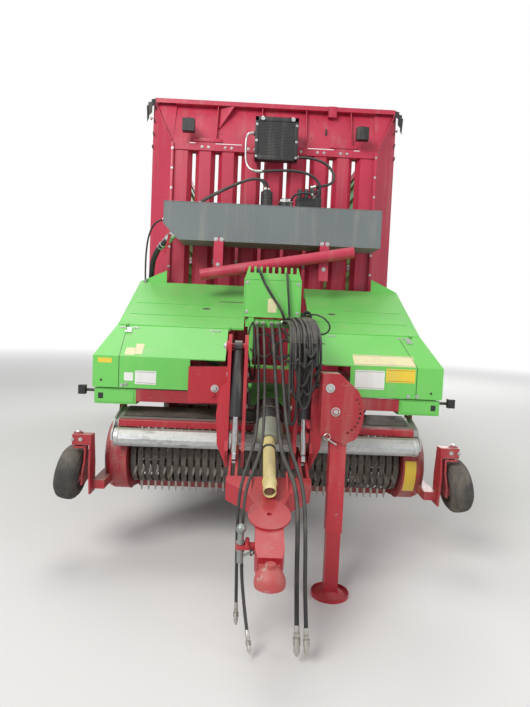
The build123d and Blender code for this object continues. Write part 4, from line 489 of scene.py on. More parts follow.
def coupling(bm, tip, way, r, length):
    """A quick coupling: swaged ferrule, hexagon, knurled sleeve and the probe with its cap."""
    lathe(bm, tip - way * 0.035, way, [(0, r * 0.82), (0.006, r * 0.88), (0.032, r * 0.88), (0.035, r * 0.7)], 20)
    lathe(bm, tip, way, [(0, r), (length * 0.2, r), (length * 0.22, r * 0.9)], 6)
    sleeve = [(length * 0.22, r * 0.86), (length * 0.25, r + 0.003)]
    for k in range(GROOVES):
        at = length * (0.25 + 0.35 * (k + 0.5) / GROOVES)
        sleeve += [(at - 0.002, r + 0.003), (at, r + 0.0015), (at + 0.002, r + 0.003)]
    sleeve += [(length * 0.6, r + 0.003), (length * 0.62, r * 0.9)]
    lathe(bm, tip, way, sleeve)
    lathe(bm, tip, way, [(length * 0.6, r * 0.9), (length * 0.95, r), (length, r * 0.9), (length, r * 0.62),
                         (length + 0.012, r * 0.58), (length + 0.014, r * 0.4)])


def gland_nut(bm, at, r):
    """The nut on the gland that a hose leaves from, and the swaged end behind it."""
    lathe(bm, at + AHEAD * 0.002, AHEAD, [(0, 0.016), (0.014, 0.016), (0.015, r + 0.002)], 6)
    lathe(bm, at + AHEAD * 0.016, AHEAD, [(0, r + 0.003), (0.034, r + 0.003), (0.037, r + 0.0005)], 20)


def hose_marks(bm, points, r):
    """Clips at even spaces along a hose."""
    thread = nurbs("thread", points, 0.0)
    thread.data.splines[0].resolution_u = 10
    line = [v.co.copy() for v in bpy.data.meshes.new_from_object(thread).vertices]
    bpy.data.objects.remove(thread)
    for k in range(14, len(line) - 12, 31):
        way = (line[k + 1] - line[k]).normalized()
        lathe(bm, line[k], way, [(0, r + 0.0004), (0.001, r + 0.002), (0.006, r + 0.002), (0.007, r + 0.0004)], 16)


def make_hoses():
    for name, (r_mm, end_r, end_long, length, route) in HOSES.items():
        points, r = millimetres(route), r_mm / 1000
        hose = finish_piece(nurbs(f"{name}_line", points, r), "hose_rubber")
        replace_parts(hose, name)
        way = (points[-1] - points[-2]).normalized()
        end = piece(f"{name}_coupling", lambda bm: coupling(bm, points[-1], way, end_r / 1000, end_long / 1000),
                    "fitting_steel", smooth=35)
        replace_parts(end, "hose_couplings")
        sleeve = piece(f"{name}_gland_nut", lambda bm: gland_nut(bm, points[0], r), "fitting_steel", smooth=35)
        ties = piece(f"{name}_marks", lambda bm: hose_marks(bm, points, r), "black_plastic", smooth=35)


# The coil of spare hose on its peg: turns of different size, tied at its waist

COIL_X, COIL_Y, COIL_TOP = 0.262, -2.770, 1.840
COIL_WIDE, COIL_HIGH, COIL_THICK, COIL_DEEP = 0.100, 0.430, 0.040, 0.060
COIL_TURNS = 5
COIL_HOSE_R = 0.0062
POINTS_A_TURN = 16


def coil_points():
    """Turns of a long narrow loop, fanned a little in depth and size."""
    half_w = COIL_WIDE / 2 - COIL_THICK / 2
    half_h = COIL_HIGH / 2 - COIL_WIDE / 2
    points = []
    for k in range(COIL_TURNS * POINTS_A_TURN + 1):
        lap = k / POINTS_A_TURN
        turn = 2 * pi * lap + pi / 2
        # each lap lies beside the last one, and wanders by a few millimetres
        out = 0.011 * sin(2.1 * lap + 0.6)
        deep = (lap / COIL_TURNS - 0.5) * (COIL_DEEP - 2.2 * COIL_HOSE_R)
        side = 1 if cos(turn) > 0 else -1
        x = COIL_X + (half_w + out) * side * min(1.0, abs(cos(turn)) * 1.9)
        z = COIL_TOP - COIL_HIGH / 2 + sin(turn) * (half_h + half_w + out * 0.7)
        points.append(Vector((x, COIL_Y + deep, z)))
    return points


def coil_string(bm):
    """White string wound four times round the coil."""
    for lap in range(4):
        z = COIL_TOP - COIL_HIGH * 0.42 + lap * 0.006
        rod_ring(bm, [
            (COIL_X + (COIL_WIDE / 2 + 0.003) * cos(turn), COIL_Y + (COIL_DEEP / 2 + 0.003) * sin(turn),
             z + 0.004 * sin(turn * 2 + lap))
            for turn in turns(20)
        ], 0.0025)


def make_coil():
    coil = finish_piece(nurbs("spare_hose", coil_points(), COIL_HOSE_R, resolution=3), "hose_rubber")
    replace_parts(coil, "hose_coil")
    piece("spare_hose_tie", coil_string, "string", smooth=60)


# Road tyres with their tread, and the nuts and caps of the wheels

AXLES = {"front": 0.8, "rear": 2.3}     # y
WHEEL_X, TYRE_R = 0.975, 0.585
HUB_FACE_X, HUB_CAP_X = 1.019, 1.074
NUT_CIRCLE_R, CAP_CIRCLE_R = 0.1675, 0.050
TREAD_DEEP = 0.017
CROWN = ((0.0, 0.585), (0.150, 0.582), (0.262, 0.566), (0.292, 0.520), (0.300, 0.455))     # x, radius
HALF_TYRE = (
    # x, radius
    (0.225, 0.286), (0.236, 0.300), (0.244, 0.303), (0.250, 0.318), (0.272, 0.360), (0.275, 0.364),
    (0.281, 0.366), (0.285, 0.400), (0.295, 0.440), (0.2995, 0.458), (0.2985, 0.476), (0.2945, 0.478),
    (0.2935, 0.496), (0.286, 0.520), (0.266, 0.547), (0.240, 0.556), (0.150, 0.5645), (0.060, 0.567),
)
TREAD_STEPS = 38
TREAD_BARS = (
    # places across the tyre, steps further round, slant, width
    ((-0.284, -0.262, -0.205, -0.150), 0.0, 0.35, 0.052), ((0.150, 0.205, 0.262, 0.284), 0.5, -0.35, 0.052),
    ((-0.132, -0.070, -0.008), 0.4, 0.55, 0.050), ((0.008, 0.070, 0.132), 0.9, -0.55, 0.050),
)


def crown_r(x):
    """Radius of the tyre at the distance x from its middle."""
    x = abs(x)
    for (x0, r0), (x1, r1) in zip(CROWN, CROWN[1:]):
        if x <= x1:
            return r0 + (r1 - r0) * (x - x0) / (x1 - x0)
    return CROWN[-1][1]


def tread_bar(bm, centre, xs, angle, slant, wide):
    """One block of the tread across the places xs, slanting round the tyre."""
    rings = []
    for x in xs:
        top = crown_r(x) - 0.0006
        foot = top - TREAD_DEEP - 0.004
        ring = []
        for side, r in ((-1.25, foot), (-1.0, top), (1.0, top), (1.25, foot)):
            a = angle + slant * (x - xs[0]) + side * wide / 2 / top
            ring.append(bm.verts.new(centre + Vector((x, r * sin(a), r * cos(a)))))
        rings.append(ring)
    skin(bm, rings, closed=False)
    bm.faces.new(rings[0])
    bm.faces.new(rings[-1])


def tyre_mesh(bm, centre):
    """Carcass with ribbed sidewalls, and shoulder and middle blocks round it."""
    profile = [(-x, r) for x, r in HALF_TYRE] + list(HALF_TYRE[::-1])
    lathe(bm, centre, ACROSS, profile, 96, cap=False)
    pitch = 2 * pi / TREAD_STEPS
    for turn in turns(TREAD_STEPS):
        for xs, steps, slant, wide in TREAD_BARS:
            tread_bar(bm, centre, xs, turn + pitch * steps, slant, wide)


def wheel_nuts(bm, side, y):
    """Wheel nuts on their studs."""
    way = ACROSS * side
    for turn in turns(10):
        at = Vector((side * HUB_FACE_X, y + NUT_CIRCLE_R * sin(turn), TYRE_R + NUT_CIRCLE_R * cos(turn)))
        hex_head(bm, at, way, 0.030, 0.018)
        rod(bm, at + way * 0.014, at + way * 0.034, 0.009, 12, 0.002)


def hub_cap(bm, side, y):
    """Cap on the hub's end, with its rim of small bolts."""
    way, at = ACROSS * side, Vector((side * HUB_CAP_X, y, TYRE_R))
    lathe(bm, at, way, [(-0.030, 0.0705), (0.0, 0.0705), (0.004, 0.066), (0.008, 0.060), (0.010, 0.034),
                        (0.013, 0.030), (0.014, 0.0)], 32, cap=False)
    for turn in turns(6):
        out = Vector((side * 0.007, CAP_CIRCLE_R * sin(turn), CAP_CIRCLE_R * cos(turn)))
        hex_head(bm, at + out, way, 0.010, 0.006, False)


def make_wheels():
    for axle, y in AXLES.items():
        for side, side_name in SIDES.items():
            name = f"{axle}_{side_name}"
            centre = Vector((side * WHEEL_X, y, TYRE_R))
            tyre = piece(f"tyre_{name}_tread", lambda bm: tyre_mesh(bm, centre),
                         "tyre", f"wheel_{name}", smooth=28)
            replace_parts(tyre, f"tyre_{name}")
            piece(f"wheel_nuts_{name}", lambda bm: wheel_nuts(bm, side, y), "fitting_steel", f"wheel_{name}",
                  smooth=30)
            piece(f"hub_cap_{name}", lambda bm: hub_cap(bm, side, y), "frame_red", smooth=30)


# Guard of the drive shaft, in turned pieces from the gearbox along the shaft

GEAR = Vector((0, -2.900, 1.150))
SHAFT_END = Vector((0, -3.790, 0.778))
SHAFT_WAY = (SHAFT_END - GEAR).normalized()
END = (SHAFT_END - GEAR).length
BELLOWS_FROM, BELLOWS_TO, BELLOWS_RIBS = 0.070, 0.330, 7


def shaft_ribs(bm, angles, from_, to, r, chamfer=0.0):
    """Ribs round the shaft, each between two places given by distance and radius."""
    across, over = axes_of(SHAFT_WAY)
    for turn in angles:
        side = across * cos(turn) + over * sin(turn)
        rod(bm, *(GEAR + SHAFT_WAY * along + side * off for along, off in (from_, to)), r, 8, chamfer)


def bellows_profile():
    pitch = (BELLOWS_TO - BELLOWS_FROM) / BELLOWS_RIBS
    rib = ((0, 0.083), (0.30, 0.089), (0.42, 0.0965), (0.5, 0.0978), (0.58, 0.0965), (0.70, 0.089))
    profile = [(BELLOWS_FROM + k * pitch + pitch * share, r) for k in range(BELLOWS_RIBS) for share, r in rib]
    return [*profile, (BELLOWS_TO, 0.083), (BELLOWS_TO, 0.076), (BELLOWS_FROM, 0.076), (BELLOWS_FROM, 0.083)]


GUARD = (
    # piece, material, slot, smooth angle, sides, ribs, profile
    ("guard_tube", "guard_yellow", "guard_yellow", 35, 40,
     ((0.35, 2.8, 4.7), (0.50, 0.0362), (END - 0.11, 0.0362), 0.0018), (
         (0.440, 0.034), (0.440, 0.0365), (END - 0.100, 0.038), (END - 0.098, 0.038), (END - 0.096, 0.043),
         (END - 0.072, 0.043), (END - 0.070, 0.038), (END - 0.003, 0.038), (END, 0.037), (END, 0.035),
         (END - 0.002, 0.034), (0.440, 0.034))),
    ("guard_ring", "black_plastic", "black_plastic", 35, 40, None, (
        (0.556, 0.0375), (0.556, 0.0415), (0.562, 0.0425), (0.570, 0.0425), (0.576, 0.0415), (0.576, 0.0375),
        (0.556, 0.0375))),
    ("guard_cone", "cone", "black_plastic", 40, 48, (turns(12), (0.404, 0.0895), (0.440, 0.0680), 0.0035, 0.001), (
        (0.330, 0.080), (0.330, 0.098), (0.336, 0.100), (0.352, 0.100), (0.360, 0.097), (0.400, 0.094),
        (0.408, 0.088), (0.438, 0.070), (0.446, 0.062), (0.462, 0.058), (0.470, 0.053), (0.470, 0.039),
        (0.440, 0.039), (0.395, 0.076), (0.330, 0.080))),
    ("guard_bellows", "black_plastic", "black_plastic", 50, 48, None, bellows_profile()),
    ("guard_light_rib", "cone", "black_plastic", 40, 48, None, (
        (0.196, 0.0960), (0.198, 0.0976), (0.203, 0.0976), (0.205, 0.0960))),
)


def make_shaft_guard():
    for name, material, slot, angle, sides, ribs, profile in GUARD:
        def build(bm):
            lathe(bm, GEAR, SHAFT_WAY, profile, sides, cap=False)
            if ribs:
                shaft_ribs(bm, *ribs)
        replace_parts(piece(name, build, material, "shaft_guard", angle), "pto_guard")


# Pieces made of rows: a shape's function, the places where it stands and its further values

def places(xs, ys, zs):
    """All points with these coordinates, each of them a number or a tuple of numbers."""
    return [Vector(p) for p in product(*(v if isinstance(v, tuple) else (v,) for v in (xs, ys, zs)))]


def spread(start, end, count):
    """Middles of the even parts between two ends."""
    return [start + (end - start) * (k + 0.5) / count for k in range(count)]


def group(name, rows, material, body="wagon", smooth=None):
    def build(bm):
        for form, spots, *rest in rows:
            for spot in spots:
                form(bm, spot, *rest)
    piece(name, build, material, body, smooth)


def bolts(name, rows, body="wagon"):
    """Zinc bolts: rows of their places, the way they face, width across flats and height."""
    group(name, [(hex_head, *row) for row in rows], "zinc", body, smooth=30)


# Details on the green covers: beads, seams, latches and blank plates

FRONT = (ACROSS, UP)
SLOPE = (ACROSS, Vector((0, 0.312, 0.223)).normalized())
ROOF = (ACROSS, Vector((0, 0.757, 0.3785)).normalized())
SLOPE_OUT, ROOF_OUT = Vector((0, -0.5815, 0.8136)), ROOF[0].cross(ROOF[1])
LID_FACE_Y = -2.872
CABINET_Y = -2.835
SEAM_R = 0.002


def on_slope(x, y):
    """A point on the lids' sloping face."""
    return Vector((x, y, 1.665 + (y + 2.560) * 0.223 / 0.312))


def on_roof(x, y):
    """A point on the upper covers."""
    return Vector((x, y, 2.050 + (y + 1.790) * 0.5))


def card(bm, middle, face, wide, high, thick=0.0008, corner=0.006):
    """A thin rounded rectangle lying on a face, given by its across and up directions."""
    across, up = face
    out = across.cross(up).normalized()
    outline = []
    for sx, sy, start in ((1, 1, 0), (-1, 1, 90), (-1, -1, 180), (1, -1, 270)):
        for a in (radians(start + 30 * k) for k in range(4)):
            dx = sx * (wide / 2 - corner) + corner * cos(a)
            dy = sy * (high / 2 - corner) + corner * sin(a)
            outline.append(middle + out * 0.0003 + across * dx + up * dy)
    plate(bm, outline, out * thick)


PLATES = (
    # name, body, material, face, middle, wide, high
    ("plate_yellow_left", "cover_left", "yellow_plate", FRONT, (-1.186, LID_FACE_Y, 1.408), 0.100, 0.034),
    ("plate_pale_left_a", "cover_left", "pale_plate", SLOPE, on_slope(-1.015, -2.825), 0.075, 0.082),
    ("plate_pale_left_b", "cover_left", "pale_plate", SLOPE, on_slope(-0.958, -2.800), 0.060, 0.120),
    ("plate_white_left_a", "cover_left", "white_plate", FRONT, (-1.014, LID_FACE_Y, 1.296), 0.066, 0.060),
    ("plate_white_left_b", "cover_left", "white_plate", FRONT, (-0.892, LID_FACE_Y, 1.292), 0.152, 0.098),
    ("plate_strip_right", "cover_right", "pale_plate", SLOPE, on_slope(0.842, -2.818), 0.452, 0.120),
    ("plate_yellow_right", "cover_right", "yellow_plate", FRONT, (0.958, LID_FACE_Y, 1.378), 0.214, 0.100),
    ("plate_white_right", "cover_right", "white_plate", FRONT, (0.733, LID_FACE_Y, 1.342), 0.216, 0.138),
    ("plate_pale_middle", "wagon", "pale_plate", FRONT, (0.001, CABINET_Y, 1.850), 0.064, 0.100),
)
COVERS = {
    # side: seam's x at its top and foot, x of bolts along the lid's top, x and z of bolts at its foot,
    # ends of the roof's folds, middle of the roof's hole, hole in the lid's face
    -1: ((-1.100, -1.085), (-1.141, -1.120, -1.040, -1.018, -0.450, -0.420, -0.390),
         ((-1.060, 1.232), (-1.030, 1.240)), (-1.118, -0.235), -0.526, (-1.211, LID_FACE_Y, 1.264)),
    1: ((1.010, 1.078), (0.470, 0.500, 1.004, 1.040, 1.074),
        ((1.021, 1.230), (1.087, 1.232)), (0.345, 1.118), 0.521, (1.189, LID_FACE_Y, 1.258)),
}


def make_plates():
    for name, body, material, face, middle, wide, high in PLATES:
        middle = Vector(middle)
        group(name, [(card, [middle], face, wide, high)], material, body)
        if high > 0.09 and wide > 0.1:
            # dark rules along the plate's top and foot
            across, up = face
            lift = across.cross(up).normalized() * 0.0006
            spots = [middle + up * k * (high / 2 - 0.010) + lift for k in (-1, 1)]
            rules = (card, spots, face, wide - 0.014, 0.0024, 0.0004, 0.001)
            group(f"{name}_rules", [rules], "black_plastic", body)


def make_covers():
    for side, name in SIDES.items():
        (x_top, x_foot), top_xs, foot_spots, (x0, x1), hole_x, face_hole = COVERS[side]
        lid, lift, face_y = f"cover_{name}", UP * 0.0004, LID_FACE_Y - 0.0004
        group(f"cover_seams_{name}", [
            (rod, [on_slope(x_top, -2.600) + lift], on_slope(x_foot, -2.872) + lift, SEAM_R, 6),
            (rod, [(x_foot, face_y, 1.442)], (x_foot, face_y, 1.216), SEAM_R, 6),
        ], "black_plastic", lid, smooth=50)
        bolts(f"cover_bolts_{name}", [
            ([on_slope(x, -2.592) for x in top_xs], SLOPE_OUT, 0.012, 0.006),
            ([(x, LID_FACE_Y, z) for x, z in foot_spots], AHEAD, 0.014, 0.008),
        ], lid)
        # rubber latch on the lid's top edge near its outer end
        face, down = on_slope(side * 1.075, -2.600), -SLOPE[1]
        tongue = [face + ACROSS * dx + down * drop
                  for dx, drop in ((-0.018, 0), (0.018, 0), (0.015, 0.055), (-0.015, 0.055))]
        grip = [face + ACROSS * dx + down * 0.050 + SLOPE_OUT * 0.010 for dx in (-0.024, 0.024)]
        group(f"cover_latch_{name}", [
            (plate, [tongue], SLOPE_OUT * 0.010), (rod, grip[:1], grip[1], 0.006, 10, 0.001),
        ], "silver", lid, 30)
        fall = ROOF[1] * 0.026
        folds = [[on_roof(x0, y), on_roof(x1, y), on_roof(x1, y) - fall, on_roof(x0, y) - fall]
                 for y in (-2.175, -2.365)]
        group(f"roof_beads_{name}", [(plate, folds, ROOF_OUT * 0.0035)], "cover_green")
        # painted shade: black cards for the dark inside of the holes in the roof and in the lid's face, and of the
        # long strip on the left roof
        hole = [on_roof(hole_x, -2.255) + ROOF[0] * 0.034 * cos(turn) + ROOF[1] * 0.016 * sin(turn)
                for turn in turns(24)]
        group(f"roof_holes_painted_shade_{name}", [
            (plate, [hole], ROOF_OUT * 0.0008), (lathe, [face_hole], AHEAD, [(0.0, 0.009), (0.0008, 0.009)], 16),
            (card, [on_roof(-0.322, -2.118)] if side < 0 else [], ROOF, 0.215, 0.014),
        ], "black_plastic")
        # folded front of the box under the lid; the hole in it and the corner at its outer end are black cards of
        # painted shade
        group(f"box_trim_{name}", [
            (box, [(side * 0.968, -2.8535, 1.094)], (side * 1.255, -2.852, 1.202)),
            (box, [(side * 0.978, -2.8575, 1.104)], (side * 1.245, -2.8535, 1.192), 0.002),
        ], "cover_green")
        # painted shade: black cards in the hole and in the corner at the box's outer end
        group(f"box_painted_shade_{name}", [
            (box, [(side * 1.256, -2.830, 1.118)], (side * 1.2635, -2.700, 1.176)),
            (box, [(side * 1.197, -2.8583, 1.128)], (side * 1.233, -2.8570, 1.170)),
        ], "black_plastic")
    # folded hems round the hose cabinet's front
    group("cabinet_trim", [
        (box, [(x0, CABINET_Y - 0.0035, z0)], (x1, CABINET_Y, z1), 0.0015)
        for x0, z0, x1, z1 in ((-0.206, 1.762, 0.206, 1.770), (-0.206, 2.034, 0.206, 2.041),
                               (-0.208, 1.764, -0.200, 2.040), (0.200, 1.764, 0.208, 2.040))
    ], "cover_green", smooth=30)
    bolts("cabinet_bolts", [
        (places((-0.185, 0.185), CABINET_Y, (1.800, 2.010)), AHEAD, 0.013, 0.007),
        (places((-0.150, 0.150), CABINET_Y - 0.0005, 1.450), AHEAD, 0.016, 0.009),
    ])


# Details of the front wall: cooler, pipes, tank fittings and edge strips

WALL_Y, CHANNEL_PITCH = -1.670, 0.214
COOLER_Y, TANK_Y, TANK_TOP_Y = -1.8725, -2.1205, -1.950
FIXED_HOSES = (
    # name, radius, material, route in millimetres; both ends are held
    ("cooler_pipe_left", 9.5, "silver", (
        (-178, -1830, 3410), (-215, -1832, 3412), (-248, -1838, 3405), (-262, -1850, 3365), (-264, -1870, 3280),
        (-262, -1900, 3180), (-248, -1930, 3100), (-205, -1945, 3055), (-150, -1950, 3045))),
    ("cooler_hose_low", 12, "hose_rubber", (
        (-150, -1950, 3045), (-80, -1955, 3050), (60, -1960, 3062), (200, -1965, 3062), (320, -1968, 3035),
        (392, -1968, 2975), (412, -1962, 2905), (380, -1950, 2840), (330, -1940, 2805), (310, -1935, 2780))),
    ("cooler_hose_right", 12, "hose_rubber", (
        (170, -1845, 3215), (240, -1850, 3214), (340, -1865, 3206), (440, -1890, 3170), (515, -1915, 3095),
        (535, -1935, 3020), (500, -1950, 2965), (430, -1955, 2945), (370, -1950, 2940), (330, -1940, 2930))),
    ("filter_hose_a", 13, "hose_rubber", (
        (-75, -1950, 2870), (-75, -1950, 2930), (-110, -1950, 2975), (-190, -1950, 2985), (-330, -1948, 2930),
        (-480, -1945, 2850), (-590, -1940, 2790), (-640, -1938, 2755), (-655, -1936, 2722))),
    ("filter_hose_b", 8.5, "hose_rubber", (
        (-45, -1930, 2870), (-45, -1925, 2950), (-120, -1915, 2998), (-280, -1905, 2965), (-430, -1895, 2900),
        (-570, -1885, 2830), (-660, -1880, 2770), (-690, -1878, 2722))),
    ("tank_side_hose", 8, "hose_rubber", (
        (-928, -1940, 2600), (-985, -1940, 2592), (-1050, -1930, 2545), (-1095, -1905, 2450),
        (-1118, -1870, 2320), (-1128, -1835, 2180), (-1130, -1812, 2080), (-1128, -1806, 2030))),
    ("valve_lever_hose", 10, "hose_rubber", (
        (150, -1985, 2760), (150, -2030, 2800), (190, -2050, 2845), (270, -2040, 2860), (335, -2010, 2850),
        (350, -1985, 2835))),
)
VALVE_FROM, VALVE_TO = Vector((-0.867, -1.960, 2.463)), Vector((-1.010, -1.905, 2.330))
VALVE_WAY = (VALVE_TO - VALVE_FROM).normalized()
LEVER_OUT = Vector((0.2, -0.95, 0.3)).normalized()
LEVER_DROP = Vector((-0.035, 0.0, -0.150)).normalized()


def tube(name, points, r, material="hose_rubber"):
    """A hose or pipe held at both ends."""
    finish_piece(nurbs(name, points, r, resolution=4), material)


def ferrules(bm):
    """Ferrules at the ends of the fixed hoses."""
    for _, r_mm, _, route in FIXED_HOSES:
        points, r = millimetres(route), r_mm / 1000
        for a, b in (points[:2], points[:-3:-1]):
            lathe(bm, a, b - a, [(-0.002, r + 0.005), (0.010, r + 0.005), (0.012, r + 0.003), (0.040, r + 0.003),
                                 (0.043, r + 0.0005)], 16)


def panel_point(x, z):
    """A point on the leaning upper panel."""
    return Vector((x, WALL_Y + (z - 3.360) * 0.180 / 0.390, z))


def wall_strips(bm):
    """Angle irons along the wall's upright edges and the corner panels' fold, and small brackets."""
    for side in SIDES:
        box(bm, (side * 0.930, WALL_Y - 0.030, 1.700), (side * 0.952, WALL_Y, 3.346), 0.002)
        top, low = Vector((side * 1.128, -1.500, 3.745)), Vector((side * 0.948, WALL_Y, 3.362))
        out = Vector((side * 0.10, -0.98, 0.10)).normalized() * 0.040
        plate(bm, [top, low, low + out, top + out], (side * 0.006, 0, 0))
    for x0, x1 in ((-0.750, -0.490), (0.512, 0.766)):
        a = panel_point(x0, 3.364)
        box(bm, (x0, a.y - 0.016, a.z), (x1, a.y + 0.006, a.z + 0.036), 0.008)
    # wedge-shaped bracket beside the left gusset, and the block on the lip
    low, high = panel_point(-0.535, 3.500), panel_point(-0.535, 3.735)
    tip = Vector((-0.395, high.y - 0.070, 3.735))
    plate(bm, [low, high, tip], AHEAD * 0.006)
    plate(bm, [high, tip, tip + BACK * 0.060, high + BACK * 0.010], UP * 0.006)
    box(bm, (0.497, -1.566, 3.688), (0.575, -1.550, 3.789), 0.003)
    box(bm, (0.497, -1.566, 3.688), (0.505, -1.500, 3.780), 0.002)


def corner_flaps(bm):
    """Black rubber flaps at the body's top front corners, and the net's hooks under them."""
    for side in SIDES:
        for dx, drop, wide, tall in ((0.000, 0.000, 0.050, 0.060), (0.042, 0.012, 0.046, 0.120),
                                     (0.078, 0.030, 0.030, 0.150)):
            top = Vector((side * (1.130 + dx), -1.552 + dx, 3.784 - drop))
            plate(bm, [top + Vector((side * wide * share, back, down)) for share, back, down in (
                (0, 0, 0), (1, 0.02, -0.004), (0.8, 0.03, -tall), (0.1, 0.01, -tall * 0.8))], BACK * 0.007)
        for k in range(4):
            foot = Vector((side * (1.134 + 0.008 * k), -1.485 + 0.012 * k, 3.700 - 0.12 * k))
            rod(bm, foot, foot + Vector((side * 0.012, -0.022, 0.014)), 0.005, 8, 0.001)
            bend = foot + Vector((side * 0.012, -0.022, 0.012))
            rod(bm, bend, bend + UP * 0.028, 0.005, 8, 0.001)


def make_front_wall():
    for name, r_mm, material, route in FIXED_HOSES:
        tube(name, millimetres(route), r_mm / 1000, material)
    x0, x1, z0, z1 = -0.150, 0.165, 3.220, 3.505
    group("cooler_fins", [
        *((box, [(x0, -1.8695, z - 0.0028)], (x1, -1.866, z + 0.0028)) for z in spread(z0, z1, 22)),
        *((box, [(x - 0.0007, -1.8680, z0)], (x + 0.0007, -1.866, z1)) for x in spread(x0, x1, 46)),
    ], "dark_steel")
    low, high, nut = (-0.185, 3.175), (0.200, 3.550), [(0, 0.022), (0.014, 0.022), (0.020, 0.016)]
    group("cooler_frame", [
        *((box, [(ax, COOLER_Y, az)], (bx, -1.860, bz), 0.003) for ax, az, bx, bz in (
            (*low, -0.154, high[1]), (0.169, low[1], *high), (low[0], 3.511, *high), (*low, high[0], 3.214))),
        (lathe, [(-0.176, -1.830, 3.41)], -ACROSS, nut, 6), (lathe, [(0.185, -1.830, 3.215)], ACROSS, nut, 6),
    ], "black_plastic", smooth=30)
    group("cooler_eyes", [
        (lathe, places((-0.120, 0.150), COOLER_Y, 3.530), AHEAD,
         [(0, 0.019), (0.012, 0.018), (0.016, 0.013), (0.016, 0.008), (0.010, 0.008)], 20),
        (hex_head, places((-0.170, 0.185), COOLER_Y, (3.20, 3.34, 3.48)), AHEAD, 0.012, 0.006),
    ], "silver", smooth=30)
    # ribbed filler cap, screwed unions and bolts on the tank
    cap = Vector((0.110, TANK_TOP_Y, 2.780))
    group("tank_caps", [
        (lathe, [cap], UP, [(0.0, 0.064), (0.006, 0.066), (0.010, 0.063)], 32),
        *((rod, [foot], foot + UP * 0.030, 0.004, 8, 0.001) for foot in (
            cap + Vector((0.0465 * cos(turn), 0.0465 * sin(turn), 0.002)) for turn in turns(20))),
        (lathe, [(-0.075, -1.950, 2.870), (-0.045, -1.930, 2.870), (-0.655, -1.936, 2.720),
                 (-0.690, -1.878, 2.720), (0.310, -1.935, 2.760)],
         UP, [(0, 0.020), (0.016, 0.020), (0.020, 0.014), (0.034, 0.014)], 6),
        (hex_head, places((-0.620, -0.300, 0.560, 0.800), TANK_TOP_Y, 2.720), UP, 0.026, 0.014),
    ], "silver", smooth=30)
    can = 0.052
    group("filter_bodies", [
        (lathe, [(-0.060, TANK_TOP_Y, 2.735 + 0.026 * k) for k in range(5)], UP,
         [(0, can), (0.004, can + 0.0022), (0.008, can)], 32, False),
        (lathe, places((0.230, 0.290, 0.350, 0.400), -1.935, 2.870), UP,
         [(0, 0.021), (0.010, 0.023), (0.030, 0.023), (0.034, 0.017), (0.044, 0.017), (0.046, 0.012)], 16),
        *((box, [(0.205, -1.9925, z)], (0.415, -1.990, z + 0.008), 0.001) for z in (2.740, 2.762, 2.784, 2.806)),
    ], "cylinder_black", smooth=30)
    edges = [(x, TANK_Y, z) for x, z in ((-0.929, 2.719), (0.929, 2.719), (0.929, 2.401), (-0.800, 2.401),
                                         (-0.929, 2.530))]
    group("tank_seams", [(rod_ring, [edges], 0.0026, 8)], "tank_grey", smooth=60)
    bolts("bracket_bolts", [
        (places((-0.478, -0.430, 0.428, 0.474), -2.126, 2.414), AHEAD, 0.019, 0.010),
        (places((-0.455, 0.450), -2.126, 2.200), AHEAD, 0.019, 0.010),
    ])
    group("ball_valve", [
        (lathe, [VALVE_FROM - VALVE_WAY * 0.02], VALVE_WAY, [
            (0.0, 0.044), (0.016, 0.044), (0.018, 0.034), (0.050, 0.034), (0.055, 0.040), (0.090, 0.040),
            (0.096, 0.034), (0.120, 0.034), (0.122, 0.031), (0.150, 0.031), (0.152, 0.034), (0.166, 0.034),
            (0.168, 0.029), (0.200, 0.028)]),
        (lathe, [VALVE_FROM + VALVE_WAY * 0.055], LEVER_OUT, [(0.030, 0.014), (0.052, 0.014), (0.055, 0.010)], 12),
    ], "silver", smooth=30)
    pivot, across = VALVE_FROM + VALVE_WAY * 0.055 + LEVER_OUT * 0.056, LEVER_DROP.cross(LEVER_OUT).normalized()
    lever = [pivot + across * dx + LEVER_DROP * down for dx, down in (
        (-0.012, -0.014), (0.012, -0.014), (0.009, 0.150), (-0.009, 0.150))]
    group("valve_lever", [(plate, [lever], LEVER_OUT * 0.006)], "bright_red")
    piece("hose_ferrules", ferrules, "fitting_steel", smooth=30)
    piece("wall_strips", wall_strips, "body_red", smooth=30)
    # painted shade: black cards for the dark inside of the slot and the small holes in the upper panel
    y = panel_point(0.478, 3.530).y
    group("wall_slot_painted_shade", [
        (box, [(0.470, y - 0.0170, 3.498)], (0.486, y - 0.0120, 3.562)),
        (lathe, [panel_point(x, 3.46) + AHEAD * 0.0005 for x in (-0.495, -0.075, 0.340, 0.765)], (0, -0.9, 0.42),
         [(0, 0.007), (0.001, 0.007)], 12),
    ], "black_plastic")
    # bolts of the channels, seen in the slits, along the head beam and on the angle irons
    bolts("wall_bolts", [
        (places(tuple((k - 3.5) * CHANNEL_PITCH for k in range(8)), -1.6105, (2.266, 2.294)), AHEAD, 0.014, 0.007),
        ([((k - 3) * CHANNEL_PITCH + dx, WALL_Y - 0.012, 3.318) for k in range(7) for dx in (-0.03, 0.03)],
         AHEAD, 0.013, 0.006),
        (places((-0.941, 0.941), WALL_Y - 0.030, tuple(1.85 + k * 0.18 for k in range(9))), AHEAD, 0.012, 0.006),
    ])
    piece("corner_flaps", corner_flaps, "black_plastic")


# Details of the pickup: tine tips, roller caps, guard's bar and mat, drums, castors and gauge wheels

REEL = Vector((0.0, -2.665, 0.700))
ROLLER = Vector((0.0, -2.990, 0.883))
TINE_PITCH = 0.052
TINE_XS = [(row - 18) * TINE_PITCH for row in range(37)]
TINE_TIP = (
    # distance from the reel's middle, half width, half depth
    (0.150, 0.0050, 0.0100), (0.216, 0.0050, 0.0095), (0.224, 0.0090, 0.0110), (0.262, 0.0078, 0.0080),
    (0.294, 0.0030, 0.0042),
)
CASTOR_X, WHEEL_SPOT_X = 1.300, 1.362
WHEEL_LEAN = radians(10)


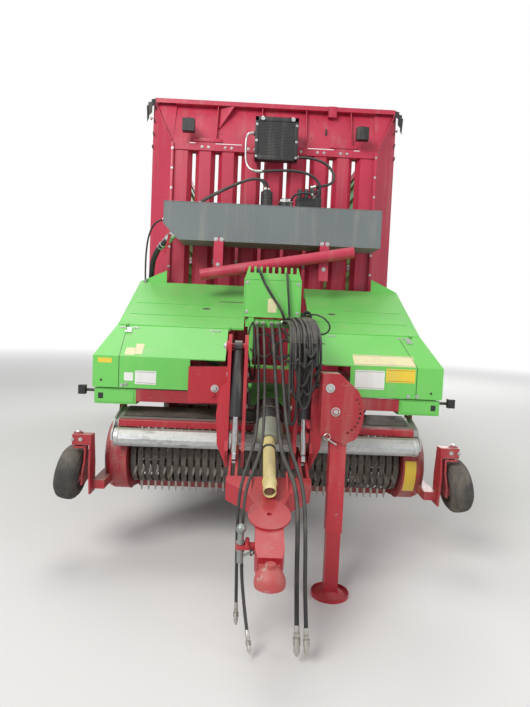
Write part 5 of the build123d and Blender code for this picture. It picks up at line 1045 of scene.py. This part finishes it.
def tine_tips(bm):
    """Pale tapered sleeves on the tines, outside the bars they grow from."""
    for a in turns(5):
        out, along = Vector((0, sin(a), -cos(a))), Vector((0, cos(a), sin(a)))
        for x in TINE_XS:
            rings = [
                [bm.verts.new(REEL + ACROSS * (x + sx * wide) + out * reach + along * sy * deep)
                 for sx, sy in ((-1, -1), (1, -1), (1, 1), (-1, 1))]
                for reach, wide, deep in TINE_TIP
            ]
            skin(bm, rings)
            bm.faces.new(rings[-1])


def facing(degrees):
    """A direction from the reel, level ahead at 0 and up at 90 degrees."""
    return Vector((0, -cos(radians(degrees)), sin(radians(degrees))))


def drum_plate(bm):
    """Blank yellow plate bent round the right drum."""
    inner, outer, low, high = 0.2703, 0.2722, 1.012, 1.094
    rings = [
        [bm.verts.new(REEL + ACROSS * x + facing(-38 + 52 * k / 14) * r)
         for x, r in ((low, inner), (low, outer), (high, outer), (high, inner))]
        for k in range(15)
    ]
    skin(bm, rings)
    bm.faces.new(rings[0])
    bm.faces.new(rings[-1][::-1])


def make_pickup():
    piece("tine_tips", tine_tips, "tine_tip", "reel")
    group("tine_coils", [
        (lathe, [REEL + Vector((x + turn - 0.0035, 0.140 * sin(a), -0.140 * cos(a)))
                 for a in turns(5) for x in TINE_XS for turn in (-0.014, -0.005, 0.005, 0.014)],
         ACROSS, [(0, 0.0185), (0.0035, 0.0235), (0.007, 0.0185)], 8, False),
    ], "tine_steel", "reel", smooth=40)
    cap = [(0, 0.030), (0.0, 0.0640), (0.004, 0.0665), (0.030, 0.0665), (0.034, 0.0645)]
    group("roller_skin", [
        (lathe, [ROLLER - ACROSS * 1.036], ACROSS,
         [(0, 0.0600), (0.0, 0.0655), (2.072, 0.0655), (2.072, 0.0600)], 12, False),
        *((lathe, [ROLLER + ACROSS * side * 1.0705], ACROSS * -side, cap, 24, False) for side in SIDES),
        *((hex_head, [ROLLER + ACROSS * side * 1.0710], ACROSS * side, 0.026, 0.008) for side in SIDES),
    ], "zinc", "roller", smooth=20)
    group("guard_bar_red", [
        (box, [(-1.060, -2.9335, 0.946)], (1.060, -2.9302, 0.990), 0.001),
        (box, [(-1.060, -2.9320, 0.9922)], (1.060, -2.8890, 0.9962), 0.001),
        (hex_head, places((-0.910, -0.580, -0.250, 0.250, 0.580, 0.910), -2.9335, 0.968), AHEAD, 0.013, 0.006),
    ], "bright_red", "guard_arms")
    mat = [[(-1.040, y, z), (1.040, y, z)] for y, z in ((-2.858, 1.0072), (-2.780, 1.0280), (-2.672, 1.0492))]
    group("guard_mat", [(plate, [a + b[::-1] for a, b in zip(mat, mat[1:])], (0, -0.001, 0.003))],
          "black_plastic", "guard_arms")
    piece("drum_plate", drum_plate, "yellow_plate", "pickup", 30)
    rim = [(0, 0.2700), (0.001, 0.2728), (0.006, 0.2728), (0.007, 0.2700)]
    group("drum_trim", [
        *((lathe, [REEL + ACROSS * side * 1.006], ACROSS * -side, rim, 64, False) for side in SIDES),
        *((hex_head, [REEL + ACROSS * side * 1.105 + way * 0.2700 for side in SIDES], way, 0.012, 0.005)
          for way in map(facing, range(-50, 161, 42))),
    ], "bright_red", "pickup", smooth=30)
    # round heads on the stripper bands, in two rows
    group("band_bolts", [
        (lathe, [REEL + ACROSS * (band - 18.5) * TINE_PITCH + way * 0.2138 for band in range(38)], way,
         [(0, 0.0085), (0.003, 0.0080), (0.005, 0.0045)], 10)
        for way in (facing(8), facing(38))
    ], "band_black", "pickup", smooth=30)
    hub = [(0, 0.098), (0.003, 0.100), (0.004, 0.078), (0.002, 0.045), (0.014, 0.040), (0.022, 0.034),
           (0.026, 0.018), (0.027, 0.0)]
    for side, name in SIDES.items():
        x, lean = side * CASTOR_X, -WHEEL_LEAN * side
        middle, axle = Vector((side * WHEEL_SPOT_X, -2.985, 0.620)), Vector((cos(lean), 0, -sin(lean)))
        bolts(f"castor_bolts_{name}", [
            ([(x, -3.070, 0.912)], UP, 0.034, 0.020),
            (places((x - 0.028, x + 0.028), -3.112, 0.880), AHEAD, 0.014, 0.007),
        ], f"castor_arm_{name}")
        group(f"gauge_hub_{name}", [
            (lathe, [middle + axle * way * 0.052], axle * way, hub, 32, False) for way in (-1, 1)
        ], "rim_paint", f"gauge_{name}", smooth=30)
        group(f"gauge_ribs_{name}", [
            (lathe, [middle + axle * (off - 0.0085)], axle,
             [(0, r - 0.006), (0.0015, r + 0.0004), (0.0155, r + 0.0004), (0.017, r - 0.006)], 48, False)
            for off, r in ((-0.036, 0.1850), (-0.0120, 0.1892), (0.0120, 0.1892), (0.036, 0.1850))
        ], "tyre", f"gauge_{name}", smooth=30)


# Hose bunch from the cabinet, held at both ends

def hanging_loop(x_down, x_low, x_up, low, front=-3.385):
    """Route of a hose that leaves the cabinet, hangs in front of the right tower and returns."""
    return [
        (x_down - 0.030, CABINET_Y, 1.728), (x_down - 0.025, -2.930, 1.738), (x_down - 0.010, -3.080, 1.742),
        (x_down, -3.230, 1.718), (x_down, -3.345, 1.650), (x_down, front, 1.540), (x_down, front, 1.420),
        (x_down + 0.1 * (x_low - x_down), front, low + 0.070), (x_low - 0.012, front, low + 0.008),
        (x_low + 0.012, front, low + 0.008), (x_up - 0.1 * (x_up - x_low), front, low + 0.070),
        (x_up, front, 1.440), (x_up, front + 0.004, 1.560), (x_up - 0.004, -3.350, 1.668),
        (x_up - 0.020, -3.230, 1.742), (x_up - 0.040, -3.080, 1.766), (x_up - 0.055, -2.930, 1.762),
        (x_up - 0.060, CABINET_Y, 1.752),
    ]


def ring_route(x, z, r, laps, start, y, step, end):
    """Route that leaves the cabinet, winds round in front of it and ends on its post."""
    ring = []
    for k in range(round(10 * laps) + 1):
        turn = start - 2 * pi * k / 10
        ring.append((x + r * cos(turn), y - step * k, z + r * 1.15 * sin(turn)))
    return [(x - 0.020, CABINET_Y, 1.722), (x - 0.015, y + 0.004, 1.712), *ring, (end[0], y - 0.012, end[1]),
            (end[0], -2.832, end[1])]


BUNCH = (
    # name, radius, route
    ("bunch_a", 0.0105, hanging_loop(0.128, 0.166, 0.205, 1.245)),
    ("bunch_b", 0.0090, hanging_loop(0.152, 0.192, 0.232, 1.330, -3.408)),
    ("bunch_c", 0.0095, hanging_loop(0.178, 0.230, 0.284, 1.275, -3.386)),
    ("bunch_d", 0.0080, hanging_loop(0.215, 0.256, 0.300, 1.395, -3.410)),
    ("bunch_e", 0.0100, hanging_loop(0.140, 0.200, 0.262, 1.455, -3.432)),
    ("bunch_f", 0.0095, hanging_loop(0.112, 0.138, 0.166, 1.085, -3.392)),
    ("bunch_g", 0.0075, hanging_loop(0.165, 0.205, 0.246, 1.190, -3.436)),
    ("bunch_h", 0.0085, hanging_loop(0.196, 0.232, 0.272, 1.520, -3.452)),
    ("ring_a", 0.0075, ring_route(0.075, 1.570, 0.088, 1.6, 1.7, -2.900, 0.0012, (0.150, 1.500))),
    ("ring_b", 0.0090, ring_route(0.100, 1.530, 0.070, 1.4, 1.4, -2.925, 0.0010, (0.150, 1.455))),
    ("ring_c", 0.0065, ring_route(-0.050, 1.560, 0.075, 1.5, 1.5, -2.890, 0.0010, (-0.145, 1.530))),
    ("loop_right", 0.0060, millimetres((
        (200, -2800, 1762), (250, -2860, 1790), (300, -2960, 1800), (350, -3040, 1780), (392, -3070, 1735),
        (396, -3070, 1690), (350, -3060, 1655), (290, -3030, 1665), (240, -2960, 1700), (215, -2880, 1735),
        (200, -2800, 1740)))),
    ("loop_left", 0.0070, millimetres((
        (-135, -2835, 1722), (-150, -2890, 1700), (-165, -2940, 1630), (-168, -2975, 1540), (-150, -2990, 1450),
        (-136, -2990, 1360), (-125, -2990, 1318), (-112, -2990, 1325), (-106, -2990, 1380), (-108, -2985, 1480),
        (-120, -2950, 1600), (-128, -2890, 1690), (-125, -2835, 1716)))),
    ("comb_hose", 0.0080, millimetres((
        (96, -2830, 2090), (98, -2850, 2080), (104, -2862, 2020), (114, -2866, 1920), (124, -2866, 1820),
        (128, -2860, 1765), (128, -2845, 1735), (128, -2835, 1725)))),
)


def gland_nuts(bm):
    """Unions where the bunch goes into the cabinet."""
    for name, r, route in BUNCH:
        if name.startswith("bunch"):
            for a, b in (route[:2], route[:-3:-1]):
                profile = [(0, r + 0.007), (0.018, r + 0.007), (0.020, r + 0.003), (0.040, r + 0.003)]
                lathe(bm, a, Vector(b) - Vector(a), profile, 6)


# Small pieces round the drawbar, the leg and the body

PIN_MIDDLE, PIN_LUG = Vector((-0.150, -4.000, 0.559)), Vector((0.058, -0.030, -0.020))
BALL_R = 0.0268
TOWER_PINS = ((-3.255, 1.565), (-3.180, 0.850))
TOWER_BOLTS = ((-3.060, 1.360), (-3.060, 1.140), (-3.010, 1.250))
REAR_Y = 4.300
LENSES = (
    # name, inner and outer end, material
    ("stop", 0.975, 1.030, "red_lens"), ("turn", 1.032, 1.088, "amber_lens"), ("tail", 1.090, 1.145, "red_lens"),
)


def tower_latches(bm):
    """Red latch arms in front of the right tower."""
    for arm in (((0.192, 1.170), (0.236, 1.130), (0.252, 1.060)),
                ((0.200, 1.052), (0.242, 1.010), (0.240, 0.965))):
        a, b, c = (Vector((x, -3.350, z)) for x, z in arm)
        plate(bm, [a + UP * 0.020, b + Vector((0.014, 0, 0.012)), c + ACROSS * 0.012, c - ACROSS * 0.012,
                   b - Vector((0.014, 0, 0.010)), a - UP * 0.016], BACK * 0.012)


def side_rivets(bm):
    """Rivets of the ribbed sheets on the posts, and lashing hooks under the top rail."""
    for side in SIDES:
        for at in places(side * 1.240, (-0.950, 0.070, 1.090, 2.110, 3.130),
                         tuple(1.480 + 0.235 * k for k in range(10))):
            lathe(bm, at, ACROSS * side, [(0, 0.0105), (0.003, 0.0095), (0.006, 0.0055)], 12)
        for k in range(9):
            foot = Vector((side * 1.215, -1.250 + 0.610 * k, 3.712))
            bend = foot + Vector((side * 0.020, 0, -0.022))
            rod(bm, foot, bend, 0.005, 8, 0.001)
            rod(bm, bend, bend + UP * 0.028, 0.005, 8, 0.001)


def make_small_pieces():
    for name, r, route in BUNCH:
        tube(name, route, r)
    group("bunch_ties", [
        (rod_ring, [[(x0, front, z), (x1, front, z), (x1, -3.366, z), (x0, -3.366, z)]], 0.0026)
        for z in (1.610, 1.480)
        for x0, x1, front in ((0.112, 0.175, -3.446), (0.168, 0.250, -3.440), (0.240, 0.316, -3.434))
    ], "black_plastic", smooth=40)
    piece("gland_nuts", gland_nuts, "fitting_steel", smooth=30)
    bolts("tower_bolts", [
        ([(-0.385, -2.962, 1.244)], AHEAD, 0.030, 0.014),
        *(([(side * x, y, z) for y, z in spots], ACROSS * side * outward, across, height)
          for side in SIDES for x, outward, across, height, spots in (
              (0.298, 1, 0.034, 0.016, TOWER_PINS), (0.284, 1, 0.026, 0.013, TOWER_BOLTS),
              (0.156, -1, 0.026, 0.010, TOWER_BOLTS))),
    ])
    piece("tower_latches", tower_latches, "bright_red")
    # the leg's locking pin with its ring clip
    clip = [(0.352 + 0.020 * cos(turn), -3.482, 1.040 + 0.020 * sin(turn)) for turn in turns(16)]
    group("leg_pin", [
        (rod, [(0.352, -3.480, 1.028)], (0.412, -3.480, 0.992), 0.006, 10, 0.001), (rod_ring, [clip], 0.0025),
    ], "fitting_steel", smooth=40)
    # grey sleeve, collars, ball and chain lug of the parking pin beside the drawbar
    group("parking_pin", [
        (lathe, [PIN_MIDDLE - UP * 0.091], UP, [
            (0.0, 0.012), (0.003, 0.0165), (0.020, 0.0172), (0.060, 0.0172), (0.062, 0.022), (0.076, 0.022),
            (0.078, 0.0168), (0.104, 0.0168), (0.105, 0.023), (0.118, 0.023), (0.120, 0.0168), (0.165, 0.0168),
        ], 20),
        (lathe, [PIN_MIDDLE + UP * (0.092 - BALL_R)], UP, [
            (BALL_R - BALL_R * cos(pi * k / 12), max(BALL_R * sin(pi * k / 12), 0.0004)) for k in range(13)]),
        (rod, [PIN_MIDDLE + Vector((0.016, -0.004, -0.050))], PIN_MIDDLE + PIN_LUG, 0.007, 10, 0.002),
        (hex_head, [PIN_MIDDLE + PIN_LUG], (0.85, -0.5, 0.1), 0.020, 0.012),
    ], "pin_grey", "drawbar_arm", 40)
    bolts("leg_bolts", [([(0.400, -3.467, 1.195), (0.360, -3.467, 1.340)], AHEAD, 0.030, 0.014)])
    rim = [(0.0, 0.104), (0.0, 0.1185), (0.006, 0.1198), (0.022, 0.1198), (0.022, 0.1165), (0.008, 0.1150)]
    group("foot_rim", [(lathe, [(0.430, -3.400, 0.004)], UP, rim, 40, False)],
          "bright_red", "support_foot", smooth=30)
    bolts("gate_bolts", [
        (places((-1.125, 1.125), 4.230, tuple(1.420 + 0.270 * k for k in range(9))), BACK, 0.014, 0.007),
        (places(tuple((k - 3.5) * 0.300 for k in range(8)), 4.230, 2.518), BACK, 0.014, 0.007),
    ], "gate")
    bolts("bumper_bolts", [
        (places((-0.980, -0.700, -0.420, 0.420, 0.700, 0.980), 4.220, 0.520), BACK, 0.018, 0.009),
    ])
    piece("side_rivets", side_rivets, "frame_red", smooth=30)
    group("side_reflectors", [
        (box, [(side * 1.2402, y - 0.045, 1.385)], (side * 1.2462, y + 0.045, 1.425), 0.001)
        for side in SIDES for y in (-1.300, 0.070, 3.400)
    ], "amber_lens")
    # blank lenses at the bumper's ends, each with ribs across it
    face = REAR_Y + 0.0003
    for side, side_name in SIDES.items():
        for lens, inner, outer, material in LENSES:
            group(f"{lens}_lens_{side_name}", [
                (box, [(side * inner, REAR_Y - 0.002, 0.494)], (side * outer, face, 0.556), 0.0002),
                *((box, [(x - 0.0006, face, 0.498)], (x + 0.0006, face + 0.0002, 0.552))
                  for x in spread(side * inner, side * outer, 8)),
            ], material)


make_camera()
make_hoses()
make_coil()
make_floor()
make_world()
make_lamps()
scene.view_settings.view_transform = "Standard"
dress_nodes()
make_wheels()
make_shaft_guard()
make_plates()
make_covers()
make_front_wall()
make_pickup()
make_small_pieces()
